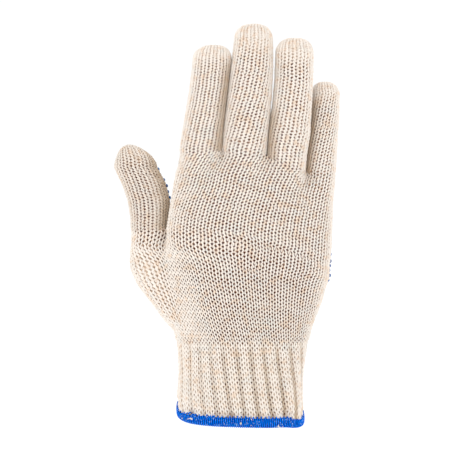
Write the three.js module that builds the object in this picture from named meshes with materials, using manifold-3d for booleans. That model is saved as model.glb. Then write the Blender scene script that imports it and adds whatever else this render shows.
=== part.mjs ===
// A right-hand work glove of plain-knit cotton with an elastic rib cuff, a blue overlocked
// hem and a field of small plastic dots over the palm side. It stands with its fingers up and
// filled out, and every piece of the knit is a hollow sleeve.
//
// Frame: origin in the middle of the wrist opening, +Z up along the fingers, the plain back
// faces -Y, the dotted palm faces +Y and the thumb points to -X. Millimetres.
import * as THREE from 'three';
import { mergeVertices } from 'three/addons/utils/BufferGeometryUtils.js';
import Module from 'manifold-3d';

const wasm = await Module();
wasm.setup();

// Driving dimensions of the knit
const WALL = 2;              // thickness of the fabric, loops included
const GAP = 0.3;             // clear space where two pieces meet
const WRIST_Z = 44;          // course where the rib ends and the plain knit starts
const THUMB_ROOT_Z = 109.3;  // course where the thumb leaves the palm
const THUMB_ROOT_X = -44;    // and where the web between them is
const BIG = 400;             // larger than the glove, for cutting blocks

// Hem and rib
const HEM_HEIGHT = 6.2;      // overlocked band round the wrist opening
const HEM_PROUD = 0.5;       // its thread stands this far outside and inside the rib
const HEM_TILT = 0.26;       // the back of the opening hangs lower, per mm of depth
const HEM_LEAN = -0.03;      // and so does its little-finger side, per mm of width
const RIBS = 24;
const RIB_DEPTH = 0.7;

// The dots stand on the knit as one thin sheet for each piece that carries them
const DOT_HEIGHT = 1.0;      // how far they rise over the gap
const DOT_MARGIN = 3;        // bare knit between the dots and a seam
const DOT_START_Z = 56;      // lowest row of dots on the palm
const PALM_DOT_SHARE = 0.05; // the palm's dots start this far round, per half depth
const BALL_DOT_SHARE = 0.35; // the same on the ball of the thumb
const FINGER_DOT_SHARE = 0.45;
const BALL_DOT_TURN = 25;    // the ball of the thumb faces this far towards the little finger

// Seam along the finger roots, seen from the front: two sides and three crotches
const ROOT_LINE = [
  { at: 'thumb side', x: -90, z: 156.6 },
  { at: 'index crotch', x: -10.7, z: 156.6 },
  { at: 'ring crotch', x: 16.5, z: 153.1 },
  { at: 'little crotch', x: 39, z: 143.4 },
  { at: 'outer side', x: 90, z: 143.4 },
];

// Course at the thumb's root, round the palm: above it the knit is narrower by the thumb's
// stitches, and it drops towards the little finger
const THUMB_LINE = [
  { at: 'thumb side', x: -90, z: THUMB_ROOT_Z },
  { at: 'web', x: THUMB_ROOT_X, z: THUMB_ROOT_Z },
  { at: 'middle', x: 5, z: 104.5 },
  { at: 'ring finger', x: 32, z: 97 },
  { at: 'outer side', x: 90, z: 77 },
];

// Each table is one sleeve of the knit, from its lower end up. left and right are its outline
// from the front, back and palm its outline from the side, and corner is the exponent of the
// section: 2 is an ellipse, more is squarer.
const CUFF = [
  { z: 0, left: -37.6, right: 38.0, back: -24.5, palm: 25.5, corner: 3.2 },
  { z: 10, left: -37.2, right: 37.0, back: -24.5, palm: 24.5, corner: 3.0 },
  { z: 24, left: -36.2, right: 37.4, back: -23.5, palm: 22.5, corner: 2.7 },
  { z: 36, left: -37.0, right: 39.2, back: -22.5, palm: 21.5, corner: 2.4 },
  { z: 46, left: -37.8, right: 40.6, back: -21.5, palm: 21.0, corner: 2.2 },
];

const PALM = [
  { z: 36, left: -37.0, right: 39.2, back: -22.5, palm: 21.5, corner: 2.4 },
  { z: 46, left: -37.8, right: 40.6, back: -21.5, palm: 21.0, corner: 2.2 },
  { z: 60, left: -42.0, right: 45.8, back: -19.5, palm: 20.5, corner: 2.3 },
  { z: 76, left: -46.0, right: 51.4, back: -18.2, palm: 20.5, corner: 2.4 },
  { z: 92, left: -46.5, right: 53.6, back: -17.0, palm: 20.0, corner: 2.4 },
  { z: 110, left: -43.6, right: 54.6, back: -16.0, palm: 19.0, corner: 2.4 },
  { z: 126, left: -41.0, right: 55.2, back: -14.6, palm: 17.8, corner: 2.4 },
  { z: 142, left: -38.4, right: 56.2, back: -12.2, palm: 15.6, corner: 2.3 },
  { z: 160, left: -36.0, right: 56.6, back: -8.6, palm: 12.0, corner: 2.2 },
];

const INDEX = [
  { z: 126, left: -34.0, right: -16.0, back: -6.0, palm: 9.0, corner: 2.1 },
  { z: 142, left: -37.4, right: -10.9, back: -10.0, palm: 13.4, corner: 2.1 },
  { z: 157, left: -35.8, right: -10.9, back: -10.4, palm: 13.6, corner: 2.1 },
  { z: 172, left: -33.4, right: -9.4, back: -9.0, palm: 13.6, corner: 2.1 },
  { z: 190, left: -30.2, right: -7.7, back: -7.4, palm: 14.4, corner: 2.1 },
  { z: 202, left: -28.7, right: -5.9, back: -5.4, palm: 15.6, corner: 2.1 },
  { z: 209, left: -28.1, right: -5.2, back: -4.2, palm: 16.0, corner: 2.1 },
];

const MIDDLE = [
  { z: 126, left: -5.0, right: 12.0, back: -8.0, palm: 9.0, corner: 2.1 },
  { z: 142, left: -10.2, right: 15.7, back: -11.6, palm: 13.0, corner: 2.1 },
  { z: 156, left: -10.5, right: 15.6, back: -11.6, palm: 12.8, corner: 2.1 },
  { z: 174, left: -8.9, right: 17.2, back: -10.0, palm: 12.8, corner: 2.1 },
  { z: 196, left: -6.1, right: 19.2, back: -8.0, palm: 14.0, corner: 2.1 },
  { z: 213, left: -4.4, right: 19.6, back: -5.4, palm: 15.6, corner: 2.1 },
  { z: 221, left: -3.3, right: 19.5, back: -3.6, palm: 16.6, corner: 2.1 },
];

const RING = [
  { z: 120, left: 20.0, right: 36.0, back: -7.0, palm: 10.0, corner: 2.1 },
  { z: 138, left: 16.8, right: 38.2, back: -10.2, palm: 13.4, corner: 2.1 },
  { z: 152, left: 16.3, right: 38.8, back: -10.2, palm: 12.8, corner: 2.1 },
  { z: 168, left: 17.1, right: 41.4, back: -9.0, palm: 12.8, corner: 2.1 },
  { z: 188, left: 20.1, right: 42.5, back: -7.0, palm: 14.0, corner: 2.1 },
  { z: 206, left: 21.2, right: 43.9, back: -4.6, palm: 15.6, corner: 2.1 },
  { z: 213, left: 21.4, right: 43.7, back: -3.2, palm: 16.4, corner: 2.1 },
];

const LITTLE = [
  { z: 112, left: 41.0, right: 49.0, back: -2.0, palm: 8.0, corner: 2.1 },
  { z: 128, left: 39.4, right: 55.6, back: -4.4, palm: 15.4, corner: 2.1 },
  { z: 143, left: 39.0, right: 57.0, back: -2.4, palm: 17.4, corner: 2.1 },
  { z: 158, left: 40.5, right: 57.9, back: 1.6, palm: 20.0, corner: 2.1 },
  { z: 174, left: 42.4, right: 59.2, back: 5.0, palm: 23.0, corner: 2.1 },
  { z: 184, left: 42.9, right: 60.0, back: 7.0, palm: 24.6, corner: 2.1 },
  { z: 190, left: 43.4, right: 59.8, back: 8.4, palm: 25.4, corner: 2.1 },
];

const THUMB = [
  { z: 46, left: -36.0, right: -20.0, back: -8.0, palm: 14.0, corner: 2.1 },
  { z: 57, left: -46.0, right: -24.0, back: -10.0, palm: 20.0, corner: 2.1 },
  { z: 66.5, left: -52.9, right: -27.0, back: -10.0, palm: 23.0, corner: 2.1 },
  { z: 76, left: -60.4, right: -30.0, back: -9.0, palm: 24.6, corner: 2.1 },
  { z: 86, left: -65.2, right: -35.0, back: -7.0, palm: 25.4, corner: 2.1 },
  { z: 97, left: -65.4, right: -40.0, back: -4.0, palm: 25.6, corner: 2.1 },
  { z: 109, left: -65.1, right: -44.6, back: -0.4, palm: 25.4, corner: 2.1 },
  { z: 120, left: -65.6, right: -42.4, back: 2.0, palm: 25.4, corner: 2.1 },
  { z: 130, left: -68.0, right: -42.6, back: 3.8, palm: 26.0, corner: 2.1 },
  { z: 140, left: -71.9, right: -46.0, back: 5.2, palm: 26.6, corner: 2.1 },
  { z: 147, left: -75.4, right: -50.0, back: 6.2, palm: 26.4, corner: 2.1 },
];

// The sleeves with a rounded end. round is the exponent of that end's outline, lean is how far
// it moves sideways above its table, curl how far it moves towards the palm, and dotTurn how
// far the dotted side turns from the palm towards the little finger, in degrees. bareTip is the
// bare knit between the dots and the tip.
const FINGERS = [
  { name: 'index', table: INDEX, top: 219.3, round: 2.6, lean: 1.0, curl: 1.5,
    rows: 6, dotTurn: 0, bareTip: DOT_MARGIN },
  { name: 'middle', table: MIDDLE, top: 232, round: 2.6, lean: 0.2, curl: 1.5,
    rows: 6, dotTurn: 0, bareTip: DOT_MARGIN },
  { name: 'ring', table: RING, top: 223.6, round: 2.6, lean: 0.2, curl: 1.5,
    rows: 6, dotTurn: 0, bareTip: DOT_MARGIN },
  { name: 'little', table: LITTLE, top: 198.2, round: 2.4, lean: -0.6, curl: 1.2,
    rows: 6, dotTurn: 0, bareTip: DOT_MARGIN },
  { name: 'thumb', table: THUMB, top: 160.4, round: 1.7, lean: -4.0, curl: 0.5,
    rows: 10, dotTurn: 50, bareTip: 12 },
];

// Facets
const FINGER_SIDES = 18;
const PALM_SIDES = 32;
const PALM_ROWS = 8;
const CUFF_ROWS = 4;
const RIB_SIDES = 2 * RIBS;
const TIP_ROWS = 4;

const cotton = { color: 0xe9dfce, roughness: 0.95, metalness: 0 };
const hemThread = { color: 0x1173e0, roughness: 0.8, metalness: 0 };
const dotPlastic = { color: 0x2a6cab, roughness: 0.45, metalness: 0 };

// Value of one column at a height: a cubic between the two rows, with the table's own slopes
function column(table, name, z) {
  const last = table.length - 1;
  const below = THREE.MathUtils.clamp(table.findLastIndex((row) => row.z <= z), 0, last - 1);
  const rowAt = (index) => table[THREE.MathUtils.clamp(index, 0, last)];
  const [before, from, to, after] = [below - 1, below, below + 1, below + 2].map(rowAt);
  const span = to.z - from.z;
  const leave = (span * (to[name] - before[name])) / (to.z - before.z);
  const arrive = (span * (after[name] - from[name])) / (after.z - from.z);
  const t = (z - from.z) / span;
  const rise = t * t * (3 - 2 * t);
  const bend = leave * t * (1 - t) ** 2 - arrive * t * t * (1 - t);
  return from[name] + rise * (to[name] - from[name]) + bend;
}

// Section of a sleeve at a height, grown outwards by a distance
function section(table, z, grow) {
  const at = (name) => column(table, name, z);
  return {
    z,
    x: (at('left') + at('right')) / 2,
    y: (at('back') + at('palm')) / 2,
    halfWidth: (at('right') - at('left')) / 2 + grow,
    halfDepth: (at('palm') - at('back')) / 2 + grow,
    corner: at('corner'),
  };
}

// Sections of a sleeve from its lower end up, evenly spaced
function sections(table, rows, grow) {
  const from = table[0].z;
  const to = table[table.length - 1].z;
  return Array.from({ length: rows + 1 }, (_, row) =>
    section(table, THREE.MathUtils.lerp(from, to, row / rows), grow));
}

// Sections of a rounded end: the last section shrinks to nothing along a squarish quarter arc
function tipSections(finger, grow) {
  const base = section(finger.table, finger.table[finger.table.length - 1].z, grow);
  return Array.from({ length: TIP_ROWS }, (_, row) => {
    const rise = Math.sin(((row + 1) / TIP_ROWS) * (Math.PI / 2));
    const size = Math.max(0, 1 - rise ** finger.round) ** (1 / finger.round);
    return {
      ...base,
      z: base.z + rise * (finger.top + grow - base.z),
      x: base.x + rise * rise * finger.lean,
      y: base.y + rise * rise * finger.curl,
      halfWidth: base.halfWidth * size,
      halfDepth: base.halfDepth * size,
    };
  });
}

// Ring of points round a section. ripple gives what is added to the ring at a turn of 0 to 1.
function ring(cut, sides, ripple) {
  return Array.from({ length: sides }, (_, side) => {
    const turn = side / sides;
    const across = Math.cos(2 * Math.PI * turn);
    const deep = Math.sin(2 * Math.PI * turn);
    const power = 2 / cut.corner;
    const added = ripple(turn);
    return new THREE.Vector3(
      cut.x + (cut.halfWidth + added) * Math.sign(across) * Math.abs(across) ** power,
      cut.y + (cut.halfDepth + added) * Math.sign(deep) * Math.abs(deep) ** power,
      cut.z,
    );
  });
}

// Closed form through a stack of sections, with a flat or pointed cover on both ends
function loft(stack, sides, ripple = () => 0) {
  const rings = stack.map((cut) => ring(cut, sides, ripple));
  const middle = (cut) => new THREE.Vector3(cut.x, cut.y, cut.z);
  const points = [...rings.flat(), middle(stack[0]), middle(stack[stack.length - 1])];
  const [bottom, top] = [points.length - 2, points.length - 1];
  const topRing = (rings.length - 1) * sides;
  const faces = [];
  for (let side = 0; side < sides; side += 1) {
    const next = (side + 1) % sides;
    faces.push(bottom, next, side, top, topRing + side, topRing + next);
    for (let start = 0; start < topRing; start += sides) {
      faces.push(start + side, start + next, start + sides + next);
      faces.push(start + side, start + sides + next, start + sides + side);
    }
  }
  const geometry = new THREE.BufferGeometry().setFromPoints(points);
  geometry.setIndex(faces);
  return solid(geometry);
}

// Manifold solid of a closed geometry
function solid(geometry) {
  const bare = geometry.clone();
  bare.deleteAttribute('normal');
  bare.deleteAttribute('uv');
  const merged = mergeVertices(bare);
  const corners = merged.index.array;
  const kept = [];
  for (let start = 0; start < corners.length; start += 3) {
    const [a, b, c] = corners.slice(start, start + 3);
    if (a !== b && b !== c && c !== a) kept.push(a, b, c);
  }
  return new wasm.Manifold(new wasm.Mesh({
    numProp: 3,
    vertProperties: new Float32Array(merged.attributes.position.array),
    triVerts: new Uint32Array(kept),
  }));
}

// Outline drawn in the front view, x across and z up, made a block through the whole depth
function frontBlock(outline) {
  const shape = new THREE.Shape(outline.map((point) => new THREE.Vector2(point.x, point.z)));
  const block = new THREE.ExtrudeGeometry(shape, { depth: BIG, bevelEnabled: false });
  return solid(block.rotateX(Math.PI / 2).translate(0, BIG / 2, 0));
}

// Outline drawn in the side view, y across and z up, made a block through the whole width and
// turned about the upright axis through the point x, y
function sideBlock(outline, turn, x, y) {
  const shape = new THREE.Shape(outline.map((point) => new THREE.Vector2(point.y - y, point.z)));
  const block = new THREE.ExtrudeGeometry(shape, { depth: BIG, bevelEnabled: false });
  block.translate(0, 0, -BIG / 2).rotateX(Math.PI / 2).rotateZ(Math.PI / 2);
  return solid(block.rotateZ(THREE.MathUtils.degToRad(-turn)).translate(x, y, 0));
}

// Everything between a course, moved up by a distance, and a far height above or below it
function beyond(course, raise, far) {
  const line = course.map((point) => ({ x: point.x, z: point.z + raise }));
  return frontBlock([...line, { x: line[line.length - 1].x, z: far }, { x: line[0].x, z: far }]);
}

const above = (course, raise) => beyond(course, raise, BIG);
const below = (course, raise) => beyond(course, raise, -BIG);

// Everything between two heights
function slab(low, high) {
  return frontBlock([
    { x: -BIG, z: low }, { x: BIG, z: low }, { x: BIG, z: high }, { x: -BIG, z: high },
  ]);
}

// Everything on the little-finger side of a place
function rightOf(x) {
  return frontBlock([{ x, z: -BIG }, { x: BIG, z: -BIG }, { x: BIG, z: BIG }, { x, z: BIG }]);
}

const fingerForm = (finger, grow) => loft(
  [...sections(finger.table, finger.rows, grow), ...tipSections(finger, grow)], FINGER_SIDES);

const palmForm = (grow) =>
  loft(sections(PALM, PALM_ROWS, grow), PALM_SIDES).intersect(below(ROOT_LINE, grow));

// The whole glove above the wrist, as one closed form
const gloveForm = (grow) =>
  FINGERS.reduce((form, finger) => form.add(fingerForm(finger, grow)), palmForm(grow));

// Side view block that keeps the palm side of a sleeve, from share of its half depth on
function palmSide(table, share, turn) {
  const edge = table.map((row) => {
    const cut = section(table, row.z, 0);
    return { y: cut.y + share * cut.halfDepth, z: row.z };
  });
  const [first, last] = [edge[0], edge[edge.length - 1]];
  const middle = section(table, last.z, 0);
  return sideBlock([
    { y: first.y, z: first.z - BIG }, ...edge, { y: last.y, z: last.z + BIG },
    { y: BIG, z: last.z + BIG }, { y: BIG, z: first.z - BIG },
  ], turn, middle.x, middle.y);
}

const glove = new THREE.Group();

function place(name, form, finish, shape = (point) => point) {
  const mesh = form.getMesh();
  const geometry = new THREE.BufferGeometry();
  geometry.setAttribute('position', new THREE.BufferAttribute(mesh.vertProperties, 3));
  geometry.setIndex(new THREE.BufferAttribute(mesh.triVerts, 1));
  const position = geometry.attributes.position;
  const point = new THREE.Vector3();
  for (let index = 0; index < position.count; index += 1) {
    shape(point.fromBufferAttribute(position, index));
    position.setXYZ(index, point.x, point.y, point.z);
  }
  geometry.computeVertexNormals();
  const piece = new THREE.Mesh(geometry, new THREE.MeshStandardMaterial(finish));
  piece.name = name;
  glove.add(piece);
}

// The wrist opening isn't level: the tilt fades out up to the wrist
function tiltHem(point) {
  const fade = Math.max(0, 1 - point.z / WRIST_Z);
  point.z += fade * (HEM_TILT * point.y + HEM_LEAN * point.x);
}

function addHem() {
  const outer = loft(sections(CUFF, CUFF_ROWS, HEM_PROUD), PALM_SIDES);
  const inner = loft(sections(CUFF, CUFF_ROWS, -WALL - HEM_PROUD), PALM_SIDES);
  place('cuff_hem', outer.subtract(inner).intersect(slab(0, HEM_HEIGHT)), hemThread, tiltHem);
}

function addCuff() {
  const ripple = (turn) => RIB_DEPTH * 0.5 * (Math.cos(2 * Math.PI * RIBS * turn) - 1);
  const outer = loft(sections(CUFF, CUFF_ROWS, 0), RIB_SIDES, ripple);
  const inner = loft(sections(CUFF, CUFF_ROWS, -WALL), PALM_SIDES);
  const rib = outer.subtract(inner).intersect(slab(HEM_HEIGHT + GAP, WRIST_Z - GAP / 2));
  place('cuff_rib', rib, cotton, tiltHem);
}

const hollow = gloveForm(-WALL);
const fabric = gloveForm(0).subtract(hollow);
const thumb = FINGERS.find((finger) => finger.name === 'thumb');
const thumbRoom = (grow) =>
  fingerForm(thumb, grow).intersect(slab(THUMB_ROOT_Z - grow / 2, BIG));

function addPalm() {
  const wrist = slab(WRIST_Z + GAP / 2, BIG);
  const heel = fabric.intersect(wrist).intersect(below(THUMB_LINE, -GAP / 2));
  place('palm_heel', heel, cotton);
  const knuckles = fabric.intersect(above(THUMB_LINE, GAP / 2)).intersect(below(ROOT_LINE, -GAP / 2));
  place('palm_knuckles', knuckles.subtract(thumbRoom(GAP)), cotton);
}

function addPalmDots() {
  const sheet = gloveForm(GAP + DOT_HEIGHT).subtract(gloveForm(GAP));
  const ball = palmSide(THUMB, BALL_DOT_SHARE, BALL_DOT_TURN);
  const side = palmSide(PALM, PALM_DOT_SHARE, 0).intersect(ball.add(rightOf(THUMB_ROOT_X)));
  const field = side.intersect(below(ROOT_LINE, -DOT_MARGIN));
  const room = thumbRoom(DOT_MARGIN).add(slab(-BIG, DOT_START_Z));
  place('palm_dots', sheet.intersect(field).subtract(room), dotPlastic);
}

function addFinger(finger) {
  const sleeve = fingerForm(finger, 0).subtract(fingerForm(finger, -WALL));
  const root = finger === thumb ? THUMB_LINE : ROOT_LINE;
  const name = finger === thumb ? 'thumb' : `${finger.name}_finger`;
  place(name, sleeve.intersect(above(root, GAP / 2)), cotton);

  const sheet = fingerForm(finger, GAP + DOT_HEIGHT).subtract(fingerForm(finger, GAP));
  const side = palmSide(finger.table, FINGER_DOT_SHARE, finger.dotTurn);
  const room = above(root, DOT_MARGIN).intersect(slab(-BIG, finger.top - finger.bareTip));
  place(`${finger.name}_dots`, sheet.intersect(side).intersect(room), dotPlastic);
}

addHem();
addCuff();
addPalm();
addPalmDots();
FINGERS.forEach(addFinger);

export default glove;
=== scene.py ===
"""A knitted work glove with plastic dots on its palm side, dressed stitch by stitch.

Every sleeve of the glove (cuff, heel of the palm, knuckles, thumb and four fingers) is measured
on its solid of the frame, and the yarn is laid on that surface: one closed tube for each course,
looped through the courses above and below it. Lengths are millimetres until a mesh is made.
"""
import logging
from dataclasses import dataclass, field
from enum import Enum
from typing import Callable, Sequence

import bpy
import numpy as np
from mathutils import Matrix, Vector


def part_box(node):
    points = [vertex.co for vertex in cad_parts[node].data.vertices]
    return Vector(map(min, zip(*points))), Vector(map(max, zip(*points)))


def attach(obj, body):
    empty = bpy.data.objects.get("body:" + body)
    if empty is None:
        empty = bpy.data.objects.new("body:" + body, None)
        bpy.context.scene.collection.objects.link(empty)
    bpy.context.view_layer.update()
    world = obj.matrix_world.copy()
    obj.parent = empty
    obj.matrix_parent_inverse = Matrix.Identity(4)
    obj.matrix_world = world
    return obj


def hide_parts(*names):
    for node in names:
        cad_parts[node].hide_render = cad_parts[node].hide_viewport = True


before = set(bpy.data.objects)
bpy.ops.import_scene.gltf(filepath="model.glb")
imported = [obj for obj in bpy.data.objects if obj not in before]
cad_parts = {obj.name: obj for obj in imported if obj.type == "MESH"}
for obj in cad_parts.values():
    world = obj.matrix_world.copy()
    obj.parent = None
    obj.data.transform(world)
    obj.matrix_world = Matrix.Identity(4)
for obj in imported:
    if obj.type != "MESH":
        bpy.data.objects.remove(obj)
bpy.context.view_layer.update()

MM = 0.001
BODY = "root"
SEED = 11
TINY = 1e-9
# A step between two knots above which they count as one place, the width in wales of the bell
# curve over the knots, and the rows added past each end of a surface
NEARLY_A_TURN = 0.9
KNOT_EASE = 1.2
PADDING = 2
WHITE = (1.0, 1.0, 1.0, 1.0)
log = logging.getLogger("glove")

Colour = tuple[float, float, float, float]
Material = bpy.types.Material
Array = np.ndarray
Piece = bpy.types.Object
HeightOf = Callable[[Array, Array], Array]
Heights = tuple[float, float, tuple[float, float]]

# The photograph's frame: a pixel is PIXEL wide at the glove, and the wrist opening's middle is
# at ORIGIN_PIXEL
PHOTO_SIDE = 450
PIXEL = 0.594
ORIGIN_PIXEL = (240.0, 414.0)
CAMERA_DISTANCE = 1250.0

# Driving sizes of the knit. The web is where the thumb leaves the palm.
WRIST_Z = 44.0
WALL = 2.0
WEB_X = -44.0
WEB_Z = 109.3

# The hem rises by its tilt towards the palm and by its lean towards the little finger, and its
# right end hangs lower
HEM_HEIGHT = 6.2
HEM_TILT = 0.26
HEM_LEAN = -0.03
HEM_DROP = 3.2
HEM_DROP_START = 27.0
HEM_DROP_END = 39.0


class Side(Enum):
    """The two faces of the glove."""

    BACK = -1
    PALM = 1


class Slot(Enum):
    """The record's material slots."""

    KNIT = "cotton_knit"
    RIB = "elastic_rib"
    THREAD = "overlock_thread"
    DOTS = "pvc_dots"


# Measuring the frame


def triangles_of(names: Sequence[str]) -> Array:
    """Reads the triangles of some nodes of the frame.

    Args:
        names: The nodes' names.

    Returns:
        Their corners in millimetres, one row of three points for each triangle.
    """
    parts = []
    for name in names:
        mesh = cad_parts[name].data
        mesh.calc_loop_triangles()
        places = np.empty(3 * len(mesh.vertices))
        mesh.vertices.foreach_get("co", places)
        corners = np.empty(3 * len(mesh.loop_triangles), np.int32)
        mesh.loop_triangles.foreach_get("vertices", corners)
        parts.append(places.reshape(-1, 3)[corners].reshape(-1, 3, 3) / MM)
    return np.concatenate(parts)


def cut_level(triangles: Array, height: float) -> Array:
    """Cuts triangles by a level plane.

    A triangle that crosses the plane has one corner alone on its side, and the two edges that
    leave that corner meet the plane in the ends of the segment.

    Args:
        triangles: Corners, one row of three points for each triangle.
        height: The plane's height.

    Returns:
        The segments, one row of two points seen from above for each.
    """
    lift = triangles[..., 2] - height
    over = lift > 0
    crossing = over.any(1) & ~over.all(1)
    corners, lift, over = triangles[crossing], lift[crossing], over[crossing]
    alone = np.where(over.sum(1) == 1, over.argmax(1), over.argmin(1))
    order = (alone[:, None] + np.arange(3)) % 3
    corners = np.take_along_axis(corners, order[..., None], 1)
    lift = np.take_along_axis(lift, order, 1)
    share = lift[:, :1] / (lift[:, :1] - lift[:, 1:])
    ends = corners[:, :1] + share[..., None] * (corners[:, 1:] - corners[:, :1])
    return ends[..., :2]


def farthest_hit(segments: Array, centre: Array, angles: Array) -> Array:
    """Finds how far a flat outline reaches from a centre.

    Each ray is solved against each segment as two lines that cross, and the farthest crossing
    that lies within its segment counts.

    Args:
        segments: One row of two points for each segment.
        centre: Where the rays start.
        angles: The rays' directions, in radians.

    Returns:
        The distance along each ray, and nan where it meets nothing.
    """
    start = segments[:, 0] - centre
    step = segments[:, 1] - segments[:, 0]
    ray = np.stack([np.cos(angles), np.sin(angles)], 1)[:, None]
    turn = ray[..., 0] * step[:, 1] - ray[..., 1] * step[:, 0]
    turn = np.where(np.abs(turn) < TINY, TINY, turn)
    distance = (start[:, 0] * step[:, 1] - start[:, 1] * step[:, 0]) / turn
    share = (start[:, 0] * ray[..., 1] - start[:, 1] * ray[..., 0]) / turn
    slack = 1e-4
    met = (share > -slack) & (share < 1 + slack) & (distance > 0)
    best = np.where(met, distance, -1.0).max(1)
    return np.where(best > 0, best, np.nan)


@dataclass(frozen=True)
class Course:
    """A line of the knit round the glove, given by its height over each place.

    Attributes:
        line: Points (x, height) of the line seen from the front.
        tilt: How much it rises for each millimetre towards the palm.
        lean: How much it rises for each millimetre towards the little finger.
    """

    line: tuple[tuple[float, float], ...]
    tilt: float = 0.0
    lean: float = 0.0

    def height(self, x: Array, y: Array) -> Array:
        """Returns the course's height over places given from above."""
        xs, zs = np.array(self.line).T
        return np.interp(x, xs, zs) + self.tilt * y + self.lean * x


def level(height: float) -> Course:
    """Returns the course that lies level at a height."""
    return Course(((0.0, height),))


def hem_course(height: float) -> Course:
    """Returns a course of the cuff, whose slope and dropped right end fade out up to the wrist."""
    fade = 1 - height / WRIST_Z
    return Course(((HEM_DROP_START, height), (HEM_DROP_END, height - HEM_DROP * fade)),
                  HEM_TILT * fade, HEM_LEAN * fade)


# The courses at the fingers' roots and at the thumb's root
ROOT_LINE = Course(((-10.7, 156.6), (16.5, 153.1), (39.0, 143.4)))
THUMB_LINE = Course(((WEB_X, WEB_Z), (5.0, 104.5), (32.0, 97.0), (90.0, 77.0)))


@dataclass
class Outline:
    """How far some solids of the frame reach from a centre line, at each height and angle.

    Attributes:
        nodes: The solids.
        low, high: The heights between which they are measured.
        whole: The heights between which every ray meets them, where the centre line is found.
        step: Distance between the levels.
        rays: How many angles each level has.
        hidden: A height below which the thumb's side is taken from above.
        thumb_way: The cosine below which a ray points to the thumb's side.
        cuts: How many levels the centre line is fitted to.
        rounds: How often a course's height is looked up again.
    """

    nodes: Sequence[str]
    low: float
    high: float
    whole: tuple[float, float]
    step: float = 1.6
    rays: int = 240
    hidden: float = -1e3
    thumb_way: float = -0.35
    cuts: int = 9
    rounds: int = 12

    def __post_init__(self) -> None:
        """Measures the solids level by level, and fills gaps from the nearest levels."""
        triangles = triangles_of(self.nodes)
        self.levels = np.linspace(self.low, self.high, int((self.high - self.low) / self.step) + 2)
        self.angles = np.linspace(0, 2 * np.pi, self.rays, endpoint=False)
        inside = np.linspace(*self.whole, self.cuts)
        middles = []
        for height in inside:
            cut = cut_level(triangles, height).reshape(-1, 2)
            middles.append((cut.min(0) + cut.max(0)) / 2)
        self.centre_line = np.polyfit(inside, np.array(middles), 1)
        centres = self.centre(self.levels)
        self.reach = np.stack([
            farthest_hit(cut_level(triangles, height), centre, self.angles)
            for height, centre in zip(self.levels, centres)
        ])
        thumb_side = np.cos(self.angles) < self.thumb_way
        self.reach[np.ix_(self.levels < self.hidden, thumb_side)] = np.nan
        for ray in range(self.rays):
            seen = np.isfinite(self.reach[:, ray])
            self.reach[:, ray] = np.interp(self.levels, self.levels[seen], self.reach[seen, ray])

    def centre(self, heights: Array) -> Array:
        """Returns the centre line's place at each height."""
        slope, start = self.centre_line
        return start + np.asarray(heights)[..., None] * slope

    def place(self, heights: Array) -> Array:
        """Finds the outline's place on each ray.

        Args:
            heights: The height for each ray.

        Returns:
            The places, seen from above.
        """
        spot = np.interp(heights, self.levels, np.arange(len(self.levels)))
        under = np.minimum(spot.astype(int), len(self.levels) - 2)
        share = spot - under
        ray = np.arange(self.rays)
        reach = (1 - share) * self.reach[under, ray] + share * self.reach[under + 1, ray]
        ray_way = np.stack([np.cos(self.angles), np.sin(self.angles)], 1)
        return self.centre(heights) + reach[:, None] * ray_way

    def ring(self, height_of: HeightOf, count: int = 320, soften: float = 2.0) -> Array:
        """Finds the closed line in which a course meets the outline.

        Each ray's height is found by going to the outline and back to the course a few times.
        The points are then spread evenly and softened by a bell curve against the facets.

        Args:
            height_of: Gives the course's height at x and y.
            count: How many points the ring has.
            soften: The bell curve's width in millimetres.

        Returns:
            The ring's points, from the little finger's side towards the palm.
        """
        heights = np.full(self.rays, (self.low + self.high) / 2)
        for _ in range(self.rounds):
            x, y = self.place(heights).T
            heights = height_of(x, y)
        x, y = self.place(heights).T
        return soften_ring(even_ring(np.stack([x, y, heights], 1), count), soften)


def unit(vectors: Array) -> Array:
    """Returns vectors made one long."""
    return vectors / np.maximum(np.linalg.norm(vectors, axis=-1, keepdims=True), TINY)


def lengths(points: Array) -> Array:
    """Returns how far along an open line each of its points lies."""
    return np.concatenate([[0], np.cumsum(np.linalg.norm(np.diff(points, axis=0), axis=1))])


def read_along(wanted: Array, along: Array, rows: Array) -> Array:
    """Returns rows of values at wanted lengths, straight between the rows at known lengths."""
    return np.stack([np.interp(wanted, along, axis) for axis in rows.T], 1)


def even_ring(points: Array, count: int) -> Array:
    """Spreads points evenly along a closed line.

    Args:
        points: The line's points.
        count: How many are wanted.

    Returns:
        The even points, from the same first point.
    """
    closed = np.concatenate([points, points[:1]])
    along = lengths(closed)
    return read_along(np.linspace(0, along[-1], count, endpoint=False), along, closed)


def soften_ring(points: Array, width: float) -> Array:
    """Returns an even ring's points averaged by a bell curve of a width in its own units."""
    spacing = np.linalg.norm(points[1] - points[0])
    return bell_average(points, width / max(spacing, TINY))


def bell_average(values: Array, width: float) -> Array:
    """Averages closed rows of values along their first axis by a bell curve.

    Args:
        values: The rows. The last is followed by the first.
        width: The curve's width in rows.

    Returns:
        The averaged rows.
    """
    reach = np.arange(-int(3 * width) - 1, int(3 * width) + 2)
    weights = np.exp(-0.5 * (reach / max(width, TINY)) ** 2)
    weights /= weights.sum()
    return sum(weight * np.roll(values, shift, 0) for weight, shift in zip(weights, reach))


def ease(value: Array) -> Array:
    """Returns a smooth step from 0 to 1."""
    value = np.clip(value, 0, 1)
    return value * value * (3 - 2 * value)


def squarish(wave: Array, power: float) -> Array:
    """Returns a wave between -1 and 1 made squarer by a power below 1."""
    return np.sign(wave) * np.abs(wave) ** power


# Surfaces that the yarn is laid on


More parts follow.
